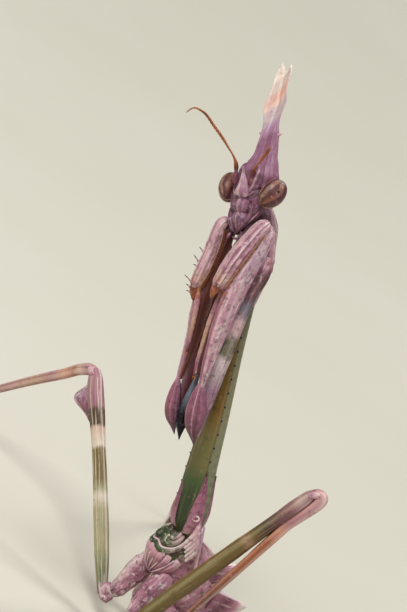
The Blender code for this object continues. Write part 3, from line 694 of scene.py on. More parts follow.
# Head -----------------------------------------------------------------------------------------
def build_head():
    """Head capsule: rings climb from the mouth to the vertex; the front of each ring is drawn to
    a wedge by raising its sine to a power. Face plates, seams and mouth feelers lie on it."""
    path = curve(on_head, 80, (0, -2.8, -0.02), (0, -2.2, -0.05), (0, -1.4, -0.1), (0, -0.5, 0.03),
                 (0, 0.4, 0.05), (0, 1.1, -0.1), (0, 1.75, -0.32))
    t, u, c, s = grid(80, 96)
    wide = rise(t, (0, 0.14), (0.08, 0.42), (0.2, 0.72), (0.35, 1.12), (0.5, 1.5), (0.66, 1.62),
                (0.8, 1.5), (0.93, 1.3), (1, 1.15))
    deep = rise(t, (0, 0.14), (0.08, 0.34), (0.2, 0.52), (0.35, 0.8), (0.5, 1.08), (0.68, 1.16),
                (0.85, 1.02), (1, 0.72))
    wedge = rise(t, (0, 0.9), (0.3, 1.1), (0.5, 1.8), (0.8, 1.6), (1, 1.0))
    uneven = 0.02 * np.sin(19 * t + 3 * u) * np.sin(11 * t)
    ridge = 1 + ridged(u, ((222, 0.05, 8), (318, 0.05, 8))) + uneven
    high = np.where(s < 0, -np.abs(s) ** wedge, np.abs(s) ** 0.85)
    capsule = loft(path, HEAD_LEFT, wide * np.sign(c) * np.abs(c) ** np.where(s < 0, 1.2, 1.0) * ridge,
                   deep * high * ridge)
    sheets = [(capsule, "head")]

    # frontal plate: a low pyramid drawn up into a keeled blade
    path = curve(on_head, 60, (0.12, -0.5, 0.98), (0.12, 0.1, 1.12), (0.08, 0.75, 1.35),
                 (0.02, 1.15, 1.5), (0, 1.5, 1.72))
    t, u, c, s = grid(60, 40)
    wide = rise(t, (0, 0.4), (0.08, 0.64), (0.2, 0.6), (0.4, 0.42), (0.7, 0.22), (1, 0.02))
    thick = rise(t, (0, 0.1), (0.15, 0.24), (0.5, 0.2), (1, 0.02))
    sheets.append((loft(path, HEAD_LEFT, wide * c, thick * s * (1 + 0.6 * around(u, 270, 22))),
                   "frontal"))

    # clypeus and upper lip
    t, u, c, s = grid(40, 48)
    ridge = 1 + ridged(u, ((270, 0.35, 14), (238, 0.1, 7), (302, 0.1, 7)))
    for top, low, half, front in (((-0.52, 1.0), (-1.55, 0.6), 0.78, 0.13),
                                  ((-1.3, 0.58), (-2.5, 0.3), 0.6, 0.16)):
        path = curve(on_head, 40, (0.16, low[0], low[1] - 0.1),
                     (0.2, (low[0] + top[0]) / 2, (low[1] + top[1]) / 2 + 0.05),
                     (0.2, top[0], top[1] - 0.04))
        wide = half * rise(t, (0, 0.2), (0.12, 0.55), (0.45, 0.86), (0.85, 1.0), (1, 0.86))
        deep = front * rise(t, (0, 0.4), (0.2, 1), (0.9, 1), (1, 0.5))
        sheets.append((loft(path, HEAD_LEFT, wide * c, deep * s * ridge), "face"))

    # seams laid on the capsule: half-width, look, then height and degrees from the front
    seams = [(1, 0.035, "ink", (0.49, -42), (0.52, -20), (0.52, 20), (0.49, 42)),
             (1, 0.03, "ink", (0.3, -38), (0.33, -15), (0.33, 15), (0.3, 38))]
    for side in (1, -1):
        seams += [(side, 0.035, "seam", (0.5, 44), (0.36, 50), (0.2, 46), (0.04, 30)),
                  (side, 0.06, "seam", (0.42, 88), (0.3, 82), (0.15, 76), (0.03, 60)),
                  (side, 0.025, "ink", (0.44, 70), (0.32, 62), (0.2, 60), (0.08, 50)),
                  (side, 0.03, "seam", (0.52, 22), (0.62, 36), (0.74, 50), (0.84, 40)),
                  (side, 0.05, "seam", (0.98, 20), (0.9, 48), (0.8, 62), (0.7, 66))]
    for side, half, look, *knots in seams:
        height, angle, _ = through([(high, side * away / 100, 0) for high, away in knots], 40).T
        sheets.append(rod(look, laid(capsule, height, 270 + 100 * angle), FACE_AIM, 10,
                          (0, 0.3 * half), (0.2, half), (0.8, half), (1, 0.3 * half)))

    # mandibles and mouth feelers
    for side in (1, -1):
        path = curve(on_head, 30, (side * 0.95, -1.1, 0.3), (side * 0.62, -1.9, 0.3),
                     (side * 0.14, -2.75, 0.16), ease=0.6)
        sheets.append(rod("face", path, FACE_AIM, 20, (0, 0.12), (0.5, 0.26), (1, 0.08), flat=0.8))
        path = curve(on_head, 36, (side * 0.3, -2.5, -0.05), (side * 0.5, -2.95, 0.05),
                     (side * 0.34, -3.2, 0.25), (side * 0.1, -3.12, 0.36), ease=0.3)
        sheets.append(rod("face", path, HEAD_UP, 12, (0, 0.09), (0.3, 0.07), (0.36, 0.095),
                          (0.66, 0.065), (0.72, 0.085), (1, 0.03)))

    # brow between the feelers and the crown's foot
    path = curve(on_head, 50, (0.1, -0.1, 0.66), (0.15, 0.7, 0.78), (0.25, 1.4, 0.85),
                 (0.35, 2.0, 0.78))
    t, u, c, s = grid(50, 60)
    wide = rise(t, (0, 0.5), (0.25, 1.0), (0.6, 1.2), (0.85, 1.1), (1, 0.6))
    deep = 0.45 * rise(t, (0, 0.6), (0.4, 1), (1, 1.1))
    folds = 1 + ridged(u, ((262, 0.25, 8), (222, 0.2, 7), (312, 0.2, 7)))
    sheets.append((loft(path, HEAD_LEFT, wide * c, deep * s * folds), "brow"))

    # three small simple eyes on the vertex and the neck membrane behind
    for side, up in ((0, 1.15), (0.3, 1.42), (-0.3, 1.42)):
        root = on_head(side, up, 0.62)
        sheets.append(cone("frontal", root, root + 0.3 * unit(FACE_AIM + 0.3 * HEAD_UP), 0.12, n=8,
                           m=14))
    path = through([SHIELD_END - 0.4 * SHIELD_AIM, on_head(0, -0.5, -1.45), on_head(0, -0.15, -0.5)],
                   40)
    half = spread(40, (0, 0.85), (0.5, 0.72), (1, 0.9)) * (1 + 0.04 * np.sin(TURN * 6 * grid(40, 1)[0]))
    sheets.append((tube(path, HEAD_LEFT, half, half * 0.85, 40), "head"))
    skin("skin_head", sheets, ("head", "neck", "frontal_spine"))


def build_eyes():
    """Eye: an egg, rings follow the root of 1 - x squared; its long axis leans out and back,
    and the outer face is drawn to a blunt cone."""
    for word, side in SIDES:
        upright = unit(HEAD_UP - 0.4 * FACE_AIM + 0.3 * side * HEAD_LEFT)
        centre = on_head(side * EYE_OUT + (0.15 if side < 0 else 0.0), EYE_UP, EYE_AHEAD)
        t, u, _, _ = grid(64, 72)
        x = -np.cos(math.pi * t)
        ring = np.sqrt(np.clip(1 - x * x, 0, 1)) ** 0.92
        out = 0.67 * ring * (1 + 0.12 * around(u, 0 if side > 0 else 180, 55) * bump(x, 0.15, 0.6))
        angle = u + side * 0.35 * np.sin(math.pi * t)
        egg = loft(centre + 1.14 * x * upright, HEAD_LEFT, out * np.cos(angle),
                   0.9 * ring * np.sin(angle))
        gaze = unit(side * 0.88 * HEAD_LEFT + 0.02 * HEAD_UP + 0.38 * FACE_AIM)
        rim = egg[np.unravel_index((egg @ gaze).argmax(), egg.shape[:2])]
        spot = cone("ink", rim - 0.06 * gaze, rim + 0.03 * gaze, 0.2, m=24)
        skin(f"skin_eye_{word}", [(egg, "eye"), spot], (f"eye_{word}",))


def build_crown():
    """Crown: half-width falls from a flared foot to a waist, swells into a cupped leaf and ends
    in two prongs; raised ribs run up the stem and the leaf's cup is the square of its cosine."""
    tip = (middle("crown_tip_left") + middle("crown_tip_right")) / 2
    first, *_, last = line_of("crown", HEAD, 16)
    foot, tip = first - 0.85 * unit(last - first), tip + 0.2 * unit(tip - first)
    t, u, c, s = grid(150, 80)
    sway = rise(t, (0, 0), (0.12, 0.18), (0.2, 0.25), (0.3, 0.26), (0.45, 0.26), (0.574, 0.25),
                (0.65, 0.24), (0.73, 0.22), (0.79, 0.09), (0.87, -0.02), (0.95, -0.14), (1, -0.2))
    bow = 0.42 * np.sin(math.pi * t * 0.93)
    path = foot + t * (tip - foot) * 0.93 + bow * FACE_AIM + sway * HEAD_LEFT
    t = np.clip((t - 0.043) / 0.957, 0, 1)
    wide = rise(t, (0, 1.45), (0.06, 1.52), (0.13, 1.28), (0.22, 1.0), (0.3, 0.87), (0.4, 0.79),
                (0.48, 0.7), (0.51, 0.68), (0.57, 0.72), (0.66, 0.83), (0.73, 0.85), (0.79, 0.74),
                (0.84, 0.64), (0.92, 0.6), (0.97, 0.56), (1, 0.5))
    deep = rise(t, (0, 0.7), (0.05, 0.85), (0.11, 0.74), (0.2, 0.52), (0.4, 0.34), (0.56, 0.16),
                (0.8, 0.09), (0.96, 0.07), (1, 0.03))
    stem = rise(t, (0, 1), (0.4, 1), (0.58, 0.12), (1, 0))
    ridges = 1 + stem * ridged(u, ((262, 0.62, 7), (222, 0.4, 6), (312, 0.45, 6), (335, 0.2, 6),
                                   (0, 0.15, 9), (180, 0.2, 8), (90, 0.3, 14), (60, 0.15, 7),
                                   (120, 0.15, 7)))
    leaf = 1 - stem
    cup = 0.32 * leaf * c * c * rise(t, (0, 1), (0.7, 1), (1, 0.4)) - 0.1 * leaf * bump(c, 0, 0.15)
    rim = 1 + 0.5 * leaf * bump(np.abs(c), 1.0, 0.12)
    ruffle = 1 + 0.02 * stem * np.sin(46 * t) * np.abs(c) + 0.015 * leaf * np.sin(37 * t + 2 * c)
    horns = 0.25 * rise(t, (0, 0), (0.88, 0), (1, 1)) * np.clip(np.abs(c) - 0.25, 0, 1) ** 0.8
    body = loft(path, HEAD_LEFT, wide * c * ruffle, deep * s * ridges * rim - cup, horns)
    sheets = [(body, "crown")]
    # each prong's point, closing the leaf's end above its notch
    way = unit(path[-1] - path[-12])
    for side in (1, -1):
        root = path[-1] + 0.02 * way + side * 0.3 * HEAD_LEFT
        line = through([root - 0.5 * way, root, root + 0.5 * way + side * 0.12 * HEAD_LEFT], 24)
        t, _, c, s = grid(24, 20)
        half = rise(t, (0, 0.1), (0.3, 0.26), (0.6, 0.2), (1, 0.02))
        sheets.append((loft(line, HEAD_LEFT, half * c, (0.06 + 0.1 * half) * s), "prong"))
    for side, reach in ((1, 1.0), (-1, 0.5)):
        root = laid(body, [0.45], 0 if side > 0 else 180, -0.08)[0]
        point = root + reach * (0.3 * unit(tip - foot) + side * 0.34 * HEAD_LEFT)
        sheets.append(cone("horn", root, point, 0.13, side * 0.12 * HEAD_LEFT, 14, 14))
    skin("skin_crown", sheets, ("crown", "crown_tip_left", "crown_tip_right"))


def build_antennae():
    """Feeler: a thread whose radius falls along it, with small beads where its joints are."""
    routes = {"right": ((-0.72, 0.4, 1.1), (-0.72, 0.95, 1.35), (-0.75, 1.55, 1.65), (-0.95, 2.4, 3.05),
                        (-1.25, 3.05, 4.5), (-1.6, 3.55, 5.8), (-1.87, 3.5, 6.4), (-2.1, 3.0, 6.7)),
              "left": ((0.62, 0.5, 0.95), (0.66, 0.95, 1.2), (0.85, 1.3, 1.55), (1.7, 1.62, 2.3),
                       (2.8, 1.95, 3.2), (4.1, 2.1, 4.4), (4.8, 1.8, 5.1))}
    for word, knots in routes.items():
        t, _, c, s = grid(170, 12)
        half = rise(t, (0, 0.2), (0.06, 0.2), (0.1, 0.16), (0.115, 0.12), (0.13, 0.15), (0.19, 0.14),
                    (0.22, 0.105), (0.5, 0.1), (0.85, 0.075), (1, 0.03))
        half = half * (1 + 0.1 * np.sin(TURN * 30 * t) * rise(t, (0, 0), (0.2, 0), (0.3, 1), (1, 1)))
        half = half * (1 + (0.28 if word == "left" else 0.0) * np.sin(TURN * 9 * t))
        thread = loft(curve(on_head, 170, *knots), HEAD_UP, half * c, half * s)
        skin(f"skin_antenna_{word}", [(thread, "antenna")], (f"antenna_{word}",))


# Trunk -----------------------------------------------------------------------------------------
CREASES = ((90, 0.3, 20), (270, 0.3, 20))
FINS = ((90, 0.25, 14), (270, 0.25, 14))


def build_shield():
    """Neck shield: a keeled saddle above, a flat band below, thin flanges at both sides; the
    half-width swells over the fore legs and closes in a rounded front lobe."""
    n, m = 160, 72
    path = through([on_thorax(0.95, 0.75, 0), on_shield(0.2, 0, 0), on_shield(4, 0, 0.1),
                    on_shield(8, 0, 0.2), on_shield(16, 0, 0.14),
                    SHIELD_END + 0.9 * SHIELD_AIM + 0.02 * SHIELD_BACK + 0.05 * SHIELD_LEFT], n)
    t, u, c, s = grid(n, m)
    wide = rise(t, (0, 0.5), (0.03, 0.95), (0.07, 1.18), (0.12, 1.18), (0.18, 1.08), (0.34, 0.98),
                (0.62, 0.87), (0.76, 1.0), (0.85, 1.45), (0.9, 1.28), (0.96, 1.1), (1, 0.55))
    deep = rise(t, (0, 0.4), (0.05, 1.1), (0.16, 1.08), (0.34, 0.86), (0.62, 0.7), (0.85, 0.85),
                (0.96, 0.85), (1, 0.4))
    flange = around(u, 0, 9) + around(u, 180, 9)
    sides = (1 + 0.16 * flange) * (1 + 0.035 * np.sin(TURN * 34 * t) * flange)
    keel = (1 + 0.16 * around(u, 90, 9)) * (1 - ridged(u, ((236, 0.05, 6), (304, 0.05, 6))))
    lower = rise(t, (0, -1.05), (0.15, -1.0), (0.35, -0.82), (1, -0.82))
    body = loft(path, SHIELD_LEFT, wide * c * sides,
                deep * np.where(s < 0, np.abs(s) ** 0.75 * lower, np.abs(s) ** 0.9) * keel)
    sheets = [(body, "shield")]
    # the front lobe: a shell a hair outside the saddle, over the fore legs' roots
    shell = body[int(0.7 * n):]
    outward = shell - shell.mean(axis=1, keepdims=True)
    grown = spread(len(shell), (0, -0.04), (0.06, 0.05), (1, 0.05))[..., None]
    sheets.append((shell + grown * outward / np.linalg.norm(outward, axis=2, keepdims=True),
                   "lobe_front"))
    # a row of dark warts down each side, creased gussets and a breathing hole at the base
    for edge in (336.0, 204.0):
        step = np.linspace(0.12, 0.7, 15)
        sheets += thorns("ink", laid(body, step, edge, -0.06), laid(body, step, edge, 0.09), 0.12)
    for turn, top, broad in ((335, 0.215, 0.62), (236, 0.17, 0.66), (20, 0.2, 0.5)):
        path = laid(body, np.linspace(0.03, top, 40), np.linspace(turn - 2, turn + 4, 40), -0.02)
        half = broad * spread(40, (0, 0.8), (0.3, 0.9), (0.7, 0.4), (1, 0.03 / broad))
        out = unit(laid(body, [0.1], turn, 1.0)[0] - laid(body, [0.1], turn)[0])
        sheets.append((tube(path, np.cross(SHIELD_AIM, out), half, 0.09, 28, CREASES, wave=0.05),
                       "gusset"))
    hole = laid(body, [0.08], 334, 0.1)[0]
    out = unit(hole - laid(body, [0.077], 337, -0.5)[0])
    over_hole = unit(SHIELD_AIM - out * (SHIELD_AIM @ out))
    turn = np.linspace(0, TURN, 40)
    aside = 1.25 * np.outer(np.sin(turn), np.cross(out, over_hole))
    ring = hole + 0.18 * (np.outer(np.cos(turn), over_hole) + aside)
    sheets.append(rod("fold", ring, out, 12, (0, 0.06), (1, 0.06)))
    sheets.append(cone("claw", hole - 0.12 * out, hole + 0.05 * out, 0.14, m=20))
    skin("skin_prothorax", sheets, ("prothorax",))


def build_thorax():
    """Winged thorax: one skin over both rings, with a cross groove between them; breast plates
    fan out below and leaf-shaped pads stand off the back."""
    n = 120
    path = curve(on_thorax, n, (0.25, 0.9, 0), (2.6, 1.15, 0), (4.6, 1.3, 0), (7.6, 1.5, 0))
    t, u, c, s = grid(n, 96)
    wide = rise(t, (0, 0.55), (0.05, 0.9), (0.15, 1.25), (0.32, 1.65), (0.8, 1.75), (1, 1.4))
    belly = rise(t, (0, 0.75), (0.02, 1.15), (0.06, 1.65), (0.12, 2.12), (0.2, 2.34), (0.37, 2.4),
                 (0.5, 1.9), (0.6, 2.0), (0.78, 2.1), (1, 1.3))
    back = rise(t, (0, 0.6), (0.06, 1.0), (0.2, 1.5), (0.4, 1.8), (0.6, 2.2), (0.85, 2.2), (1, 1.8))
    trunk = loft(path, LEFT, wide * c, np.where(s > 0, belly * np.abs(s) ** 0.9, -back * np.abs(s)))
    sheets = [(trunk, "thorax")]

    # two fans of breast plates with pale seams between them and a dark knob at each root
    plates = ((0.28, 132), (0.3, 112), (0.31, 92), (0.3, 70), (0.27, 50), (0.22, 32), (0.14, 16),
              (0.24, 152), (0.16, 168))
    lines = ((0.27, 122), (0.29, 102), (0.29, 81), (0.28, 60), (0.25, 41), (0.18, 24), (0.25, 142))
    for root_t in (0.37, 0.78):
        for reach, degrees in plates:
            step = np.linspace(0, 1, 40)
            line = laid(trunk, root_t - reach * step, 90 + (degrees - 90) * step, -0.02)
            out = unit(line[20] - path[int(root_t * (n - 1))])
            sheets.append(rod("plate", line, np.cross(out, line[-1] - line[0]), 24, (0, 0.06),
                              (0.5, 0.22), (0.85, 0.36), (1, 0.26), flat=0.6, ridges=FINS))
        for reach, degrees in lines:
            step = np.linspace(0.1, 1, 30)
            line = laid(trunk, root_t - reach * step, 90 + (degrees - 90) * step, 0.17)
            sheets.append(rod("horn", line, LEFT, 8, (0, 0.03), (0.4, 0.06), (1, 0.04)))
        knob = laid(trunk, [root_t], 90)[0]
        sheets.append(cone("claw", knob - 0.3 * THORAX_BELOW, knob + 0.34 * THORAX_BELOW, 0.24, n=8,
                           m=18))

    # collar of green and cream folds round the front, rose folds and a pale line on each flank
    turn = np.linspace(178, -8, 70)
    for at, thick, look in ((0.0, 0.26, "collar"), (0.03, 0.3, "collar"), (0.065, 0.12, "horn"),
                            (0.085, 0.24, "collar"), (0.012, 0.1, "horn")):
        lift = 0.05 + 0.04 * np.sin(np.radians(turn) * 7)[:, None]
        line = laid(trunk, at + 0.02 * np.sin(np.radians(turn) * 3), turn, lift)
        sheets.append(rod(look, line, THORAX_AIM, 20, (0, 0.3 * thick), (0.2, 0.8 * thick),
                          (0.5, thick), (0.8, 0.8 * thick), (1, 0.3 * thick), flat=0.8, wave=0.1))
    for side in (1, -1):
        for k in range(5):
            fold = curve(on_thorax, 30, (-0.6 + 0.2 * k, -0.6 + 0.12 * k, side * (1.1 + 0.1 * k)),
                         (-0.05 + 0.28 * k, 0.2 + 0.08 * k, side * (1.5 + 0.1 * k)),
                         (0.5 + 0.3 * k, 1.1 + 0.1 * k, side * (1.35 + 0.1 * k)))
            sheets.append(rod("fold", fold, THORAX_AIM, 16, (0, 0.12), (0.5, 0.22), (1, 0.1), flat=0.9,
                              wave=0.08))
        line = curve(on_thorax, 40, (-0.2, -0.6, side * 1.45), (1.08, 0.3, side * 1.85),
                     (2.8, 1.1, side * 2.0), (4.2, 1.5, side * 1.95))
        sheets.append(rod("horn", line, THORAX_AIM, 12, (0, 0.06), (0.3, 0.12), (1, 0.06)))
    skin("skin_thorax", sheets, ("mesothorax", "metathorax"))

    # wing pads: half-width falls to the tip, less on the edge towards the head, over faint veins
    droops = {"fore_left": (-0.36, -0.22), "hind_left": (0.7, 0.19), "fore_right": (0.73, 0.44),
              "hind_right": (0.73, 0.44)}
    for word, side in SIDES:
        for rank in ("fore", "hind"):
            node = f"wing_pad_{rank}_{word}"
            line = line_of(node, WAIST, 10)
            base = line[0] + 0.95 * THORAX_AIM + 0.75 * THORAX_BELOW + 0.3 * side * LEFT
            back, below = droops[f"{rank}_{word}"]
            tip = line[-1] + back * THORAX_AIM + below * THORAX_BELOW
            path = through([base, 0.5 * (base + tip) + 0.25 * side * LEFT, tip], 60)
            t, u, c, s = grid(60, 48)
            wide = rise(t, (0, 1.7), (0.3, 1.5), (0.6, 0.95), (0.85, 0.45), (0.95, 0.22), (1, 0.05))
            veins = 1 + 0.35 * np.sin(8 * u) ** 2 * bump(t, 0.5, 0.35)
            thick = veins * rise(t, (0, 0.4), (0.5, 0.26), (1, 0.05))
            leaf = loft(path, THORAX_AIM, wide * c * np.where(c < 0, 0.45, 1.0), thick * s)
            skin(f"skin_{node}", [(leaf, "pad")], (node,))


def build_abdomen():
    """Abdomen: one skin through all nine rings; the half-width steps out before each seam and
    the sides carry leaf lobes whose tips point back."""
    rings = tuple(f"abdomen_{k}" for k in range(1, 10))
    stops = [on_thorax(6.8, 1.65, 0), *map(middle, rings)]
    stops.append(stops[-1] + 0.9 * unit(stops[-1] - stops[-2]))
    n, seams = 260, 9.15
    path = through(stops, n)
    t, u, c, s = grid(n, 64)
    phase = (t * seams + 0.55) % 1.0
    step = 0.9 + 0.13 * phase ** 1.5 - 0.1 * bump(phase, 0.0, 0.05) - 0.1 * bump(phase, 1.0, 0.05)
    girth = rise(t, (0, 0.85), (0.2, 1.0), (0.5, 1.0), (0.8, 0.76), (0.95, 0.56), (0.985, 0.42),
                 (1, 0.2))
    shape = girth * step * (1 + ridged(u, ((90, 0.06, 10), (235, 0.05, 10), (305, 0.05, 10))))
    sheets = [(loft(path, LEFT, 1.75 * shape * c, 1.4 * shape * s), "abdomen")]
    at = np.concatenate([[0], np.cumsum(np.linalg.norm(np.diff(path, axis=0), axis=1))])
    for k in range(1, 8):
        spot = (k + 0.42) / seams
        i = int(np.searchsorted(at / at[-1], spot))
        ahead = unit(path[min(i + 4, n - 1)] - path[i - 4])
        up = unit(np.cross(ahead, LEFT))
        here = float(np.interp(spot, t[:, 0], girth[:, 0]))
        for side in (1, -1):
            root = path[i] + side * 1.45 * here * LEFT - 0.25 * up
            tip = root + side * 0.75 * here * LEFT + 1.05 * here * ahead - 0.25 * up
            line = through([root - side * 0.3 * LEFT, 0.5 * (root + tip) + side * 0.1 * LEFT, tip], 20)
            half = spread(20, (0, 0.5), (0.5, 0.42), (1, 0.05))
            sheets.append((tube(line, ahead, half * here, half * 0.3, 16), "pad"))
    skin("skin_abdomen", sheets, rings)
    for word, _ in SIDES:
        line = line_of(f"cercus_{word}", stops[-2], 8)
        path = through([stops[-2], 0.5 * (stops[-2] + line[0]), line[0], *line[2:]], 40)
        beads = 1 + 0.12 * np.sin(TURN * 7 * grid(40, 1)[0])
        half = beads * spread(40, (0, 0.16), (0.3, 0.26), (0.6, 0.2), (1, 0.06))
        skin(f"skin_cercus_{word}", [(tube(path, LEFT, half, half, 16), "abdomen")],
             (f"cercus_{word}",))


# Legs --------------------------------------------------------------------------------------------
FORE_ROUTES = {
    "left": {
        "coxa": ((19.7, 0.8, 1.85), (18.6, 1.15, 1.8), (17.1, 1.45, 1.6), (15.05, 1.72, 1.42),
            (12.97, 1.98, 1.22), (10.89, 2.2, 1.05), (8.79, 2.3, 0.88), (6.5, 2.3, 0.72)),
        "femur": ((10.2, 3.7, 1.32), (11.8, 3.66, 1.38), (13.6, 3.62, 1.48), (15.8, 3.36, 1.62),
            (17.7, 2.95, 1.78), (19.4, 2.25, 1.95), (20.8, 1.78, 2.08), (22.0, 1.62, 2.15)),
        "bulb": ((5.95, 2.72, 1.05), (7.1, 3.15, 1.1), (8.4, 3.42, 1.16), (9.75, 3.63, 1.22),
            (10.95, 3.74, 1.28)),
        "tibia": ((22.15, 1.9, 2.14), (21.75, 2.5, 2.08), (20.7, 3.2, 1.9), (19.04, 4.06, 1.62),
            (17.9, 4.42, 1.42), (17.25, 4.62, 1.32)),
        "claw": ((17.58, 4.5, 1.35), (17.28, 4.75, 1.32), (16.77, 4.9, 1.3), (16.29, 4.8, 1.28)),
        "tarsus": ((17.75, 3.9, 1.22), (17.0, 3.62, 1.15), (16.38, 3.75, 1.05), (15.5, 3.98, 1.0),
            (14.7, 4.1, 0.97), (13.2, 4.22, 0.95), (11.9, 4.34, 0.95), (10.9, 4.26, 0.95)),
    },
    "right": {
        "coxa": ((19.7, 0.8, -1.85), (18.6, 1.15, -1.75), (17.1, 1.42, -1.54), (15.05, 1.7, -1.34),
            (12.97, 2.05, -1.05), (10.89, 2.4, -0.8), (8.79, 2.5, -0.6), (6.7, 2.2, -0.45)),
        "femur": ((10.1, 3.5, -0.92), (11.4, 3.25, -0.91), (13.2, 3.02, -0.91), (15.0, 3.02, -0.9),
            (17.2, 2.68, -0.9), (19.3, 2.32, -0.89), (20.3, 2.1, -0.88), (21.25, 1.95, -0.88)),
        "bulb": ((6.08, 2.76, -0.75), (6.8, 3.05, -0.78), (7.92, 3.5, -0.8), (9.36, 3.62, -0.85),
            (10.5, 3.64, -0.87)),
        "tibia": ((21.45, 2.35, -0.96), (21.1, 2.8, -1.0), (19.9, 3.05, -0.98), (18.9, 3.25, -0.95),
            (17.8, 3.7, -0.9), (17.0, 4.0, -0.9), (16.5, 4.12, -0.92)),
        "claw": ((16.8, 3.95, -0.94), (16.35, 4.12, -0.92), (15.9, 4.05, -0.9),
            (15.53, 3.73, -0.88)),
        "tarsus": ((16.8, 4.05, -0.72), (16.0, 3.98, -0.6), (14.7, 3.95, -0.5), (13.4, 3.95, -0.46),
            (12.2, 3.95, -0.44)),
    },
}


